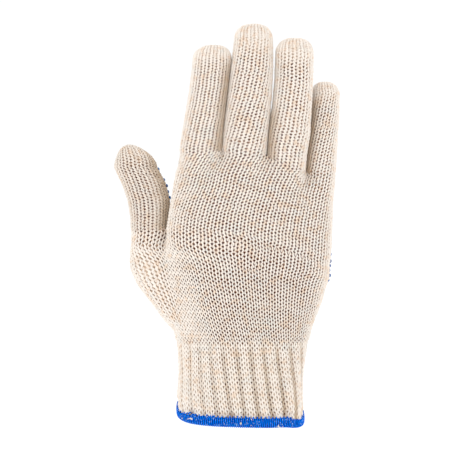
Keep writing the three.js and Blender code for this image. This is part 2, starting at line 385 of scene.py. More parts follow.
def blend_weights(share: Array) -> Array:
    """Returns the four Catmull-Rom weights of places between the middle two of four points."""
    s = share[..., None]
    return np.concatenate([
        ((2 - s) * s - 1) * s / 2,
        ((3 * s - 5) * s * s + 2) / 2,
        ((4 - 3 * s) * s + 1) * s / 2,
        (s - 1) * s * s / 2,
    ], -1)


@dataclass(frozen=True)
class Places:
    """Places on a sleeve.

    Attributes:
        wale, course: Where they lie round it and up it, in wales and courses.
        points, normals: Their points, and the normals there, which point out.
        widths: How wide a wale is there.
    """

    wale: Array
    course: Array
    points: Array
    normals: Array
    widths: Array

    def raised(self, distance: Array) -> Array:
        """Returns the points moved out along their normals."""
        return self.points + distance[..., None] * self.normals


@dataclass
class Surface:
    """A closed sleeve as a grid: wales go round it and courses go up it.

    Attributes:
        grid: Points by course line, then round the sleeve from wale 0.
        wales: How many wales the sleeve has.
    """

    grid: Array
    wales: int

    def __post_init__(self) -> None:
        """Adds two rows straight on past both ends, and works out the normals."""
        grid = self.grid
        steps = range(1, PADDING + 1)
        before = [grid[:1] + k * (grid[:1] - grid[1:2]) for k in reversed(steps)]
        after = [grid[-1:] + k * (grid[-1:] - grid[-2:-1]) for k in steps]
        self.padded = np.concatenate([*before, grid, *after])
        across = np.roll(self.padded, -1, 1) - np.roll(self.padded, 1, 1)
        normals = np.cross(across, np.gradient(self.padded, axis=0))
        self.normals = unit(bell_average(np.swapaxes(normals, 0, 1), 1.0).swapaxes(0, 1))
        per_wale = grid.shape[1] / self.wales
        self.widths = np.linalg.norm(across, axis=-1, keepdims=True) * per_wale / 2

    @property
    def rows(self) -> int:
        """The number of courses."""
        return len(self.grid) - 1

    def sample(self, table: Array, wale: Array, course: Array) -> Array:
        """Reads a padded table at places, as cubics through the nearest four values both ways.

        Args:
            table: Values by padded row, then round the sleeve.
            wale, course: The places.

        Returns:
            The values there.
        """
        around = table.shape[1]
        a = wale * around / self.wales
        highest = table.shape[0] - 2.001
        b = np.clip(course + PADDING, 1, highest)
        left, under = np.floor(a).astype(int), np.floor(b).astype(int)
        columns = (left[..., None] + np.arange(-1, 3)) % around
        lines = np.clip(under[..., None] + np.arange(-1, 3), 0, table.shape[0] - 1)
        picked = table[lines[..., :, None], columns[..., None, :]]
        up, along = blend_weights(b - under), blend_weights(a - left)
        return np.einsum("...i,...j,...ijk->...k", up, along, picked)

    def at(self, wale: Array, course: Array) -> Places:
        """Returns the places at wales and courses, which are arrays of one shape."""
        return Places(wale, course, self.sample(self.padded, wale, course),
                      unit(self.sample(self.normals, wale, course)),
                      self.sample(self.widths, wale, course)[..., 0])


@dataclass(frozen=True)
class Knot:
    """Ties a wale to a place on its ring.

    Attributes:
        wale: The wale.
        share: Its place as a share of the ring from the little finger's side, or
        x: its place seen from the front, on the
        side: back or palm.
    """

    wale: float
    share: float = 0.0
    x: float | None = None
    side: Side = Side.BACK

    def place(self, ring: Array) -> float:
        """Finds the knot's place.

        Args:
            ring: The ring's points, evenly spread from the little finger's side.

        Returns:
            Its share of the ring.
        """
        if self.x is None:
            return self.share
        half = len(ring) // 2
        shares = np.arange(len(ring)) / len(ring)
        if self.side is Side.BACK:
            return float(np.interp(self.x, ring[half:, 0], shares[half:]))
        return float(np.interp(-self.x, -ring[:half, 0], shares[:half]))


def wale_places(knots: Sequence[Knot], ring: Array, wales: int, count: int) -> Array:
    """Spreads the wales over a ring, evenly between the knots and eased over them.

    Two knots so close that one would lie a whole turn ahead of the other count as one place.

    Args:
        knots: At least one knot.
        ring: The ring's points, evenly spread.
        wales: How many wales go round.
        count: How many places are wanted, evenly spaced in wales.

    Returns:
        Each place's share of the ring, rising without a jump.
    """
    tied = sorted((knot.wale, knot.place(ring)) for knot in knots)
    at = np.array([wale for wale, _ in tied])
    share = np.unwrap([share for _, share in tied], period=1.0)
    steps = np.diff(share) % 1.0
    share = share[0] + np.cumsum(np.concatenate([[0], np.where(steps > NEARLY_A_TURN, 0, steps)]))
    turns = np.arange(-2, 3)[:, None]
    at, share = (at + turns * wales).ravel(), (share + turns).ravel()
    wanted = np.arange(count) * wales / count
    straight = wanted / wales
    eased = bell_average((np.interp(wanted, at, share) - straight)[:, None], KNOT_EASE * count / wales)
    return eased[:, 0] + straight


def ring_at(ring: Array, share: Array) -> Array:
    """Finds places on a ring.

    Args:
        ring: The ring's points, evenly spread.
        share: The places, as shares of its length.

    Returns:
        Their points.
    """
    spot = (share % 1.0) * len(ring)
    left = np.floor(spot).astype(int) % len(ring)
    part = (spot - np.floor(spot))[:, None]
    return (1 - part) * ring[left] + part * ring[(left + 1) % len(ring)]


@dataclass(frozen=True)
class Patch:
    """A matted place of the fabric, where the stitches hardly open.

    Attributes:
        x, z: Its middle, seen from the front.
        width, height: Its half sizes.
        amount: How much of the openness is lost at its middle.
    """

    x: float
    z: float
    width: float
    height: float
    amount: float = 0.85

    def cover(self, points: Array) -> Array:
        """Returns how much the patch takes at places, fading out as a bell."""
        far = ((points[..., 0] - self.x) / self.width) ** 2 + ((points[..., 2] - self.z) / self.height) ** 2
        return self.amount * np.exp(-far)


@dataclass(frozen=True)
class Relief:
    """How far a sleeve's fabric stands off its measured surface, how open and how shaded it is.

    A side is near its neighbour where the normal points sideways and the height is below the
    neighbour's end. Stitches close at the edges seen from the front, near a closed end and in
    matted places.

    Attributes:
        free, crowded: The distance on a free side, and on one that lies against a neighbour.
        left, right: The heights below which the two sides have a neighbour.
        left_shade, right_shade: How much painted shade those sides get there.
        shade: How much darker the whole sleeve is.
        holes: How open the stitches are.
        plain: The height above which they are closed.
        patches: Matted places.
        side_slope, side_start: How nearness grows with the sideways part of the normal.
        side_fade: The height over which a neighbour's end fades in.
        edge_start, edge_span, edge_loss: Where the edges start in that part, over how much of it
            the stitches close, and by what share.
        end_fade, end_loss: The height over which they close at the end, and by what share.
    """

    free: float = 0.75
    crowded: float = 1.0
    left: float = -1e3
    right: float = -1e3
    left_shade: float = 0.0
    right_shade: float = 0.0
    shade: float = 0.0
    holes: float = 1.0
    plain: float = 1e3
    patches: tuple[Patch, ...] = ()
    side_slope: float = 1.7
    side_start: float = 0.5
    side_fade: float = 12.0
    edge_start: float = 0.6
    edge_span: float = 0.35
    edge_loss: float = 0.6
    end_fade: float = 14.0
    end_loss: float = 0.85

    def push(self, places: Places) -> Array:
        """Returns how far the fabric stands out."""
        return self.free + (self.crowded - self.free) * sum(self.nearness(places))

    def dusk(self, places: Places) -> Array:
        """Returns how much painted shade the fabric gets, from 0 to 1."""
        left, right = self.nearness(places)
        return self.shade + self.left_shade * left + self.right_shade * right

    def nearness(self, places: Places) -> list[Array]:
        """Returns 1 where the fabric faces its left and its right neighbour, and 0 where it is free."""
        sideways, height = places.normals[..., 0], places.points[..., 2]
        return [ease(self.side_slope * way * sideways - self.side_start)
                * ease((top - height) / self.side_fade + 0.5)
                for way, top in ((-1, self.left), (1, self.right))]

    def openness(self, places: Places) -> Array:
        """Works out how open the stitches look.

        Args:
            places: Places on the sleeve.

        Returns:
            The openness, which is the holes' where nothing takes from it.
        """
        sideways, height = np.abs(places.normals[..., 0]), places.points[..., 2]
        edge = 1 - self.edge_loss * ease((sideways - self.edge_start) / self.edge_span)
        end = 1 - self.end_loss * (1 - ease((self.plain - height) / self.end_fade + 0.5))
        seen = self.holes * edge * end
        for patch in self.patches:
            seen = seen * (1 - patch.cover(places.points))
        return seen


@dataclass(frozen=True)
class RibRelief(Relief):
    """The relief of the cuff: soft ribs with narrow furrows, which fade out towards the wrist.

    Attributes:
        ribs, wales, courses: How many of each the cuff has.
        depth: How deep the furrows are.
        phase: How far along the wave wale 0 lies, in turns.
        narrow: Exponent of the wave in the furrows.
        run_on, run_out: How far past the cuff's end the furrows fade out, and over how many courses.
        tuck, tucked, untucked: How far the first courses sink behind the hem, the course where they
            are back out, and how many courses that takes.
        furrow_shades: How much painted shade the furrows get, what the right adds, and what low right adds.
        shade_left, shade_right: Where the right's share begins and where it is whole.
        shade_rise: How far up the cuff is still low, as a share.
        crest_loss, furrow_gain: The shares of the openness that crests lose and furrows gain.
        crest_fade: The courses below the wrist over which that fades in.
    """

    ribs: int = 24
    wales: int = 69
    courses: int = 16
    depth: float = 0.9
    phase: float = -0.03
    narrow: float = 3.5
    run_on: float = 1.5
    run_out: float = 5.0
    tuck: float = 1.3
    tucked: float = 2.6
    untucked: float = 2.0
    furrow_shades: tuple[float, float, float] = (0.18, 0.3, 0.4)
    shade_left: float = -30.0
    shade_right: float = 30.0
    shade_rise: float = 0.7
    crest_loss: float = 0.7
    furrow_gain: float = 0.15
    crest_fade: float = 6.0

    def push(self, places: Places) -> Array:
        """Returns how far the fabric stands out: least in the furrows and behind the hem."""
        sunk = self.tuck * ease((self.tucked - places.course) / self.untucked)
        return self.free - sunk - self.depth * self.furrow(places)

    def dusk(self, places: Places) -> Array:
        """Works out the painted shade: most in the furrows, low and to the right.

        Args:
            places: Places on the cuff.

        Returns:
            The shade, from 0 to 1.
        """
        side = ease((places.points[..., 0] - self.shade_left) / (self.shade_right - self.shade_left))
        low = ease(self.shade_rise - places.course / self.courses)
        everywhere, right, low_right = self.furrow_shades
        return (everywhere + right * side + low_right * side * low) * self.furrow(places)

    def openness(self, places: Places) -> Array:
        """Returns how open the stitches look: less on the ribs' crests than between them."""
        loss = self.crest_loss - (self.crest_loss + self.furrow_gain) * self.wave(places)
        return super().openness(places) * (1 - ease((self.courses - places.course) / self.crest_fade) * loss)

    def wave(self, places: Places) -> Array:
        """Returns the ribs' wave: 0 on a crest and 1 half way to the next."""
        return 0.5 - 0.5 * np.cos(2 * np.pi * (self.ribs * places.wale / self.wales + self.phase))

    def furrow(self, places: Places) -> Array:
        """Returns 0 on a rib's crest and 1 in the furrow, faded towards the wrist."""
        fade = ease((self.courses + self.run_on - places.course) / self.run_out)
        return self.wave(places) ** self.narrow * fade


@dataclass
class Graft:
    """A range of a sleeve's wales that goes on into another sleeve.

    Attributes:
        child: The sleeve that grows out of this one.
        first, last: The range of wales here.
        start: The child's wale that meets the first.
    """

    child: "Sleeve"
    first: float
    last: float
    start: float


@dataclass(frozen=True)
class WaleLine:
    """One wale traced up the back of a sleeve, as a parabola.

    Attributes:
        wale: Which wale it is.
        places: How far right it lies at the sleeve's lower end, half way up and at the upper end.
    """

    wale: float
    places: tuple[float, float, float]

    def knot(self, share: float) -> Knot:
        """Returns where the wale lies on the course a share of the way up."""
        weights = (1 - share) * (1 - 2 * share), 4 * share * (1 - share), share * (2 * share - 1)
        return Knot(self.wale, x=sum(weight * x for weight, x in zip(weights, self.places)))


@dataclass
class Sleeve:
    """One knitted sleeve: its measured outline, and how wales and courses lie on it.

    Attributes:
        outline: The measured form.
        wales, courses: Stitches round and up, without the rounded end.
        low, high: The course lines that bound it.
        low_knots, high_knots: Where wales lie on those two.
        grafts: The sleeves that grow out of its upper end.
        fade, join: How far below the upper end their forms show, and their wales.
        per_wale: Points of the grid to a wale.
        bow: How much of the wales' drift comes late, above 0, or early, below 0.
        relief: How the fabric stands off the outline.
        lines: Wales traced up it, which the others then follow.
        steady: Wales that drift evenly all the same.
        traced_to: The share of the way up above which the upper knots take over.
        lobe_width: Width of the bell curve that rounds off the lobes, in points of the grid.
        surface: What build makes.
    """

    outline: Outline
    wales: int
    courses: int
    low: Course
    high: Course
    low_knots: Sequence[Knot]
    high_knots: Sequence[Knot]
    grafts: Sequence[Graft] = ()
    fade: float = 15.0
    join: float = 4.0
    per_wale: int = 4
    bow: float = 0.0
    relief: Relief = Relief()
    lines: list[WaleLine] = field(default_factory=list)
    steady: tuple[int, ...] = ()
    traced_to: float = 0.7
    lobe_width: float = 2.5
    surface: Surface | None = None

    def build(self) -> Surface:
        """Lays the course lines on the outline, and blends the upper ones into the grafts.

        Returns:
            The surface, which the sleeve keeps.
        """
        count = self.wales * self.per_wale
        rows = []
        for row in range(self.courses + 1):
            share = row / self.courses
            height_of = self.between(share)
            ring = self.outline.ring(height_of)
            low = wale_places(self.low_knots, ring, self.wales, count)
            high = wale_places(self.high_knots, ring, self.wales, count)
            high += np.round((low - high).mean())
            drift = share + self.bow * (share**2 - share)
            places = (1 - drift) * low + drift * high
            if self.lines:
                drawn = self.traced(share, ring, places)
                drawn += np.round((low - drawn).mean())
                met = ease((share - self.traced_to) / (1 - self.traced_to))
                places = (1 - met) * drawn + met * high
            points = ring_at(ring, places)
            if self.grafts:
                points = self.lobed(points, places % 1.0 >= 0.5, share, height_of)
            rows.append(points)
        self.surface = Surface(np.array(rows), self.wales)
        return self.surface

    def between(self, share: float) -> HeightOf:
        """Returns the height function of the course a share of the way up."""
        return lambda x, y: (1 - share) * self.low.height(x, y) + share * self.high.height(x, y)

    def traced(self, share: float, ring: Array, places: Array) -> Array:
        """Spreads the wales of a course between the traced ones and the steady ones.

        Args:
            share: How far up the sleeve the course lies.
            ring: The course's ring.
            places: Where its wales lie without the traced ones, as shares of the ring.

        Returns:
            Their places between them, as shares of the ring.
        """
        knots = [line.knot(share) for line in self.lines]
        for wale in self.steady:
            knots.append(Knot(wale, share=float(places[wale * self.per_wale] % 1.0)))
        return wale_places(knots, ring, self.wales, len(places))

    def lobed(self, points: Array, back: Array, share: float,
              height_of: HeightOf) -> Array:
        """Blends a course into the form of the grafts' first courses.

        The grafts' rings, carried straight down, are one outline with a lobe for each. A point
        goes to the place of that outline with the same share of its width, on the same side, so
        that the wales keep their own drift. Only at the join do they meet the grafts' wales.

        Args:
            points: The course's points.
            back: Which of them lie on the back.
            share: How far up the sleeve the course lies.
            height_of: The course's height function.

        Returns:
            The blended points.
        """
        wale = np.arange(len(points)) / self.per_wale
        lobes = points.copy()
        for graft in self.grafts:
            mine = (wale >= graft.first) & (wale < graft.last)
            there = wale[mine] - graft.first + graft.start
            lobes[mine] = graft.child.surface.at(there, np.zeros(mine.sum())).points
        lobes = bell_average(lobes, self.lobe_width)
        below = (1 - share) * (self.high.height(*lobes.T[:2]) - self.low.height(*lobes.T[:2]))
        formed = np.where(back[:, None], self.across(lobes, points, Side.BACK),
                          self.across(lobes, points, Side.PALM))
        weight = ease(1 - below / self.fade)[:, None]
        blended = (1 - weight) * points + weight * formed
        met = ease(1 - below / self.join)[:, None]
        blended = (1 - met) * blended + met * lobes
        blended[:, 2] = height_of(*blended.T[:2])
        return blended

    @staticmethod
    def across(outline: Array, points: Array, side: Side) -> Array:
        """Moves points to one side of an outline, at the shares of its width that they have.

        Args:
            outline: The closed outline's points.
            points: The points, which span its whole width.
            side: The side.

        Returns:
            The moved points, at their own heights.
        """
        left, right = np.argmin(outline[:, 0]), np.argmax(outline[:, 0])
        first, last = (left, right) if side is Side.BACK else (right, left)
        way = outline[(first + np.arange((last - first) % len(outline) + 1)) % len(outline)]
        way = way if side is Side.BACK else way[::-1]
        spread = np.maximum.accumulate(way[:, 0])
        low, high = points[:, 0].min(), points[:, 0].max()
        wanted = spread[0] + (points[:, 0] - low) / (high - low) * (spread[-1] - spread[0])
        return np.stack([wanted, np.interp(wanted, spread, way[:, 1]), points[:, 2]], 1)


@dataclass
class RoundEnd:
    """The closed end of a finger: its courses narrow to a slit across the tip.

    Attributes:
        top: Height of the tip.
        courses: How many courses it has.
        power: Exponent of its outline, 2 for a circle and more for a squarer end.
        lean, curl: How far the tip moves sideways and towards the palm.
        slit: Half length of the slit, as a share of the half width.
        corner: Exponent of its section, 2 for an oval and more for a squarer one.
    """

    top: float
    courses: int
    power: float
    lean: float
    curl: float
    slit: float = 0.55
    corner: float = 2.1

    def close(self, surface: Surface) -> Surface:
        """Adds the rounded end to a sleeve whose last course lies level.

        The last ring is scaled to one unit each way. Each course keeps a share of its width and
        of its depth; what is left of the unit section gives its height, by a squarish arc.

        Args:
            surface: The sleeve's surface.

        Returns:
            The surface with the end.
        """
        ring = surface.grid[-1]
        middle = (ring.min(0) + ring.max(0)) / 2
        half = (ring.max(0) - ring.min(0))[:2] / 2
        section = (ring[:, :2] - middle[:2]) / half
        steps = (np.arange(1, self.courses + 1) / self.courses)[:, None, None]
        depths = self.even_depths(half[1], self.top - ring[0, 2])[:, None, None]
        shares = np.concatenate([1 - (1 - self.slit) * steps**2, depths], -1)
        across = section * shares
        size = (np.abs(across) ** self.corner).sum(-1) ** (1 / self.corner)
        rise = np.maximum(1 - size**self.power, 0) ** (1 / self.power)
        flat = middle[:2] + across * half + (rise**2)[..., None] * np.array([self.lean, self.curl])
        height = ring[:, 2] + rise * (self.top - ring[:, 2])
        dome = np.concatenate([flat, height[..., None]], -1)
        return Surface(np.concatenate([surface.grid, dome]), surface.wales)

    def even_depths(self, depth: float, height: float) -> Array:
        """Spaces the courses evenly along the arc of the tip, seen from the side.

        Args:
            depth: The half depth of the last ring.
            height: How far the tip stands over it.

        Returns:
            Each course's share of the depth.
        """
        turn = np.linspace(0, np.pi / 2, 200)
        inward, rise = (np.maximum(wave, 0) ** (2 / self.power) for wave in (np.cos(turn), np.sin(turn)))
        along = lengths(np.stack([inward * depth, rise * height], 1))
        return np.interp(along[-1] * np.arange(1, self.courses + 1) / self.courses, along, inward)


# Laying the yarn


def wrapped(steps: int, sides: int) -> Array:
    """Makes the faces of a grid of points that closes on itself both ways.

    Args:
        steps, sides: The grid's size. A step's points follow one another.

    Returns:
        Each face's corners: its own point, a step on, a step and a side on, and a side on.
    """
    step, side = np.meshgrid(np.arange(steps), np.arange(sides), indexing="ij")
    after, beside = (step + 1) % steps, (side + 1) % sides
    corners = ((step, side), (after, side), (after, beside), (step, beside))
    return np.stack([a * sides + b for a, b in corners], -1).reshape(-1, 4)


@dataclass
class Tubes:
    """Closed tubes of one number of steps and sides, as arrays.

    Attributes:
        centres: Their middle lines, by tube and step.
        outward: The direction away from the fabric at each step.
        wide, thick: Half sizes across and through the fabric at each step.
        sides: How many sides each tube has.
        marks: Numbers kept for the material, by tube and step.
        strip: The share of its strip's height that a tube fills when it is laid out flat.
        edge: The margin left at both ends of the strips.
    """

    centres: Array
    outward: Array
    wide: Array
    thick: Array
    sides: int
    marks: dict[str, Array] = field(default_factory=dict)
    strip: float = 0.92
    edge: float = 0.001

    def skin(self) -> tuple[Array, Array, Array]:
        """Carries an oval round each middle line.

        The oval stands square to the line: one axis lies along the fabric, and the other is the
        outward direction made square to the line.

        Returns:
            The points, their own normals, and the tubes' lengths up to each step.
        """
        way = unit(np.roll(self.centres, -1, 1) - np.roll(self.centres, 1, 1))
        side = unit(np.cross(way, self.outward))
        rise = np.cross(side, way)
        turn = 2 * np.pi * np.arange(self.sides) / self.sides
        across = np.cos(turn)[:, None] * side[:, :, None]
        through = np.sin(turn)[:, None] * rise[:, :, None]
        points = (self.centres[:, :, None] + self.wide[:, :, None, None] * across
                  + self.thick[:, :, None, None] * through)
        steps = np.linalg.norm(np.diff(self.centres, axis=1, append=self.centres[:, :1]), axis=-1)
        return points, across + through, np.cumsum(steps, 1)

    def faces(self) -> Array:
        """Returns the four corners of each face, with its outside out."""
        start = np.arange(len(self.centres))[:, None, None] * self.centres.shape[1] * self.sides
        return (start + wrapped(self.centres.shape[1], self.sides)).reshape(-1, 4)

    def map_corners(self) -> tuple[Array, Array]:
        """Lays every tube out flat as a strip of one square, without overlap.

        Returns:
            The corners' places in the square, and the corners' step along and turn round a tube.
        """
        tubes, steps = self.centres.shape[:2]
        tube, step, side = np.meshgrid(*map(np.arange, (tubes, steps, self.sides)), indexing="ij")
        along = np.stack([step, step + 1, step + 1, step], -1)
        around = np.stack([side, side, side + 1, side + 1], -1)
        high = (tube[..., None] + (1 - self.strip) / 2 + self.strip * around / self.sides) / tubes
        spots = np.stack([self.edge + (1 - 2 * self.edge) * along / steps, high], -1)
        return spots.reshape(-1, 2), np.stack([along, around], -1).reshape(-1, 2)


@dataclass
class Yarn:
    """The cotton yarn and the shape of one stitch.

    A stitch goes once up and down while it goes one wale across. Its path swings back and forth
    across the wale twice, which makes the head of the loop wide and its foot narrow, and it lies
    deep in the fabric at the head and foot and proud at the two legs.

    Attributes:
        swing: How far the path swings, in wales.
        reach: How far heads and feet lie from the middle of their course, in courses. At three
            quarters they lie half a course apart, which staggers the open places.
        depth: How far it moves in and out.
        wide, thick: Half sizes of the yarn along and through the fabric.
        steps, sides: Faces along a stitch and round the yarn.
        sway: How far a loop strays across, in wales.
        stray: How much its reach varies, and how far it strays up, in courses, and out.
        swell: How much its size varies.
        slim, grow: The yarn's size on wales of no width, and how much each millimetre adds.
        full, thinned: Its size where the stitches are closed, and how much of it they lose open.
        crowding: The least width of a wale, in half sizes of the yarn.
        drift_width, lift_width: Widths of the bell curves that smooth the straying across and up.
    """

    swing: float = 0.235
    reach: float = 0.75
    depth: float = 0.42
    wide: float = 0.54
    thick: float = 0.54
    steps: int = 11
    sides: int = 5
    sway: float = 0.06
    stray: float = 0.07
    swell: float = 0.05
    slim: float = 0.45
    grow: float = 0.14
    full: float = 1.1
    thinned: float = 0.09
    crowding: float = 3.4
    drift_width: float = 1.0
    lift_width: float = 0.8

    def lay(self, surface: Surface, chance: np.random.Generator, relief: Relief) -> Tubes:
        """Lays one closed tube for each course of a surface.

        Args:
            surface: Where the yarn lies.
            chance: Source of the small unevenness.
            relief: How the fabric stands off the surface.

        Returns:
            The tubes, marked with how deep each step of the yarn lies, and how shaded and how
            open the fabric is there.
        """
        rows, wales = surface.rows, surface.wales
        part = np.arange(wales * self.steps) / self.steps
        turn = part % 1.0
        stitch = part.astype(int) % wales
        head = np.where(np.cos(2 * np.pi * turn) > 0, np.round(part).astype(int) % wales, stitch + wales)
        uneven = chance.normal(0, 1, (rows, 2 * wales))[:, head]
        drift = self.spread(bell_average(chance.normal(0, 1, (rows, wales)).T, self.drift_width), part)
        lift = self.spread(bell_average(chance.normal(0, 1, (wales, rows)), self.lift_width), part)
        wale = part + 0.5 + self.swing * np.sin(4 * np.pi * turn) + self.sway * drift
        height = self.reach * np.cos(2 * np.pi * turn) * (1 + self.stray * uneven)
        course = np.arange(rows)[:, None] + 0.5 + height + self.stray * lift
        places = surface.at(np.broadcast_to(wale, course.shape), course)
        wave = np.cos(4 * np.pi * turn)
        out = relief.push(places) - self.depth * (1 + wave) - self.thick + self.stray * lift
        seen = relief.openness(places)
        size = (self.slim + self.grow * places.widths) * (self.full - self.thinned * seen)
        size = np.minimum(size, places.widths / (self.crowding * self.wide)) * (1 + self.swell * drift)
        deep = np.broadcast_to(0.5 + 0.5 * wave, course.shape)
        marks = {"deep": deep, "dusk": relief.dusk(places), "open": seen}
        return Tubes(places.raised(out), places.normals, self.wide * size, self.thick * size,
                     self.sides, marks)

    @staticmethod
    def spread(luck: Array, part: Array) -> Array:
        """Returns numbers drawn by wale and course, read along each course at parts of wales."""
        wales = len(luck)
        return np.stack([np.interp(part, np.arange(wales), row, period=wales) for row in luck.T])


@dataclass
class ShadeShell:
    """A thin closed shell in the middle of the fabric, behind the loops, that carries painted shade.

    It closes the view through the stitches. The loops stand out of it on both sides.

    Attributes:
        depth: How far its outer face lies under the crests of the loops.
        thick: Its thickness.
        per_wale, per_course: Its points to a wale and to a course.
        overlap: How far it goes on past the sleeve's ends, in courses.
        short: How many courses short of a closed end it turns in.
        closing: The sizes of the rings that turn in there, as shares of the last one's.
    """

    depth: float = 1.25
    thick: float = 0.15
    per_wale: int = 3
    per_course: int = 1
    overlap: float = 0.4
    short: float = 2.2
    closing: tuple[float, ...] = (0.6, 0.25, 0.02)

    def rings(self, sleeve: Sleeve, closed: bool) -> tuple[Array, Array, Array]:
        """Works out the shell's rings, up the outer face and down the inner one.

        Args:
            sleeve: The sleeve that it sits in.
            closed: Whether the sleeve's upper end is closed.

        Returns:
            The rings' points, their courses, and how open the fabric is at the points.
        """
        surface = sleeve.surface
        last = surface.rows - self.short if closed else surface.rows + self.overlap
        lines = np.linspace(-self.overlap, last, surface.rows * self.per_course + 1)
        wale, course = np.meshgrid(np.arange(surface.wales * self.per_wale) / self.per_wale, lines)
        places = surface.at(wale, course)
        out = sleeve.relief.push(places) - self.depth
        faces = [places.raised(out - sunk) for sunk in (0.0, self.thick)]
        seen = sleeve.relief.openness(places)
        if closed:
            faces = [np.concatenate([face, self.turned_in(face[-1])]) for face in faces]
            seen = np.concatenate([seen, np.zeros((len(self.closing), seen.shape[1]))])
            lines = np.concatenate([lines, lines[-1] + np.arange(1, len(self.closing) + 1)])
        return (np.concatenate([faces[0], faces[1][::-1]]), np.concatenate([lines, lines[::-1]]),
                np.concatenate([seen, seen[::-1]]))

    def turned_in(self, ring: Array) -> Array:
        """Returns copies of a ring that shrink to a pinhole at its middle."""
        return ring.mean(0) + np.array(self.closing)[:, None, None] * (ring - ring.mean(0))

    def build(self, name: str, sleeve: Sleeve, closed: bool, finish: Material) -> Piece:
        """Makes the shell of a sleeve.

        Args:
            name: The piece's name.
            sleeve: The sleeve that it sits in.
            closed: Whether the sleeve's upper end is closed.
            finish: Its material.

        Returns:
            The piece. Its map Stitch holds wales and courses.
        """
        # The shell is a sheet of painted shade that stands behind the open stitches.
        rings, lines, seen = self.rings(sleeve, closed)
        count, around = rings.shape[:2]
        outside_out = wrapped(count, around)[:, [0, 3, 2, 1]]
        piece = make_piece(name, rings.reshape(-1, 3), outside_out, finish)
        ring, side = np.meshgrid(np.arange(count), np.arange(around), indexing="ij")
        above = (ring + 1) % count
        add_number(piece, "outer", ring < count / 2)
        add_number(piece, "open", seen)
        wales = np.stack([side, side + 1, side + 1, side], -1) / self.per_wale
        courses = np.stack([lines[ring], lines[ring], lines[above], lines[above]], -1)
        add_map(piece, "Stitch", np.stack([wales, courses], -1).reshape(-1, 2))
        return piece


# Meshes


def make_piece(name: str, points: Array, faces: Array, finish: Material) -> Piece:
    """Makes a smooth mesh object of one material.

    Args:
        name: The piece's name.
        points: Its points in millimetres.
        faces: The corners of its faces, all with the same number.
        finish: Its material.

    Returns:
        The object, at the origin.
    """
    mesh = bpy.data.meshes.new(name)
    mesh.vertices.add(len(points))
    mesh.vertices.foreach_set("co", (points * MM).astype(np.float32).ravel())
    mesh.loops.add(faces.size)
    mesh.loops.foreach_set("vertex_index", faces.astype(np.int32).ravel())
    mesh.polygons.add(len(faces))
    mesh.polygons.foreach_set("loop_start", np.arange(0, faces.size, faces.shape[1], dtype=np.int32))
    mesh.update(calc_edges=True)
    mesh.validate()
    mesh.shade_smooth()
    mesh.materials.append(finish)
    piece = bpy.data.objects.new(name, mesh)
    bpy.context.scene.collection.objects.link(piece)
    return piece


def add_number(piece: Piece, name: str, values: Array) -> None:
    """Keeps a number for each point of a piece, for its material."""
    layer = piece.data.attributes.new(name, "FLOAT", "POINT")
    layer.data.foreach_set("value", values.astype(np.float32).ravel())


def add_map(piece: Piece, name: str, places: Array) -> None:
    """Gives a piece a UV map with a place for each corner."""
    layer = piece.data.uv_layers.new(name=name)
    layer.uv.foreach_set("vector", places.astype(np.float32).ravel())


def make_tubes(name: str, tubes: Tubes, finish: Material) -> Piece:
    """Makes tubes one piece.

    The map OFBake lays out its whole skin, and Yarn holds millimetres along the yarn and turns
    round it. The number inner is 1 where the skin faces the inside of the glove.

    Args:
        name: The piece's name.
        tubes: The tubes, whose marks the piece keeps.
        finish: Its material.

    Returns:
        The piece.
    """
    points, normals, reached = tubes.skin()
    piece = make_piece(name, points.reshape(-1, 3), tubes.faces(), finish)
    inner = -(normals * tubes.outward[:, :, None]).sum(-1)
    add_number(piece, "inner", inner)
    for mark, values in tubes.marks.items():
        add_number(piece, mark, np.repeat(values, tubes.sides))
    spots, steps = tubes.map_corners()
    add_map(piece, "OFBake", spots)
    mean_step = reached[:, -1].mean() / reached.shape[1]
    add_map(piece, "Yarn", steps * np.array([mean_step, 1 / tubes.sides]))
    return piece


# Materials


@dataclass(frozen=True)
class Ramp:
    """A smooth step of a number.

    Attributes:
        low, high: The number's values where the step begins and ends.
        first, last: The step's values there.
    """

    low: float
    high: float
    first: float = 0.0
    last: float = 1.0


class Socket:
    """An output of a shader node, with arithmetic that adds Math nodes."""

    def __init__(self, graph: "Graph", output: bpy.types.NodeSocket) -> None:
        """Keeps the node's output and the graph it belongs to."""
        self.graph = graph
        self.output = output

    def math(self, operation: str, *values: "Socket | float") -> "Socket":
        """Returns a Math node's result."""
        return self.graph.node("ShaderNodeMath", {"operation": operation}, dict(enumerate(values)))

    def __add__(self, other: "Socket | float") -> "Socket":
        """Returns the sum."""
        return self.math("ADD", self, other)

    def __sub__(self, other: "Socket | float") -> "Socket":
        """Returns the difference."""
        return self.math("SUBTRACT", self, other)

    def __rsub__(self, other: float) -> "Socket":
        """Returns a number less this."""
        return self.math("SUBTRACT", other, self)

    def __mul__(self, other: "Socket | float") -> "Socket":
        """Returns the product."""
        return self.math("MULTIPLY", self, other)

    __radd__ = __add__
    __rmul__ = __mul__

    def ramp(self, ramp: Ramp) -> "Socket":
        """Returns a smooth step of this number."""
        return self.graph.node("ShaderNodeMapRange", {"interpolation_type": "SMOOTHSTEP"}, {
            "Value": self, "From Min": ramp.low, "From Max": ramp.high,
            "To Min": ramp.first, "To Max": ramp.last})


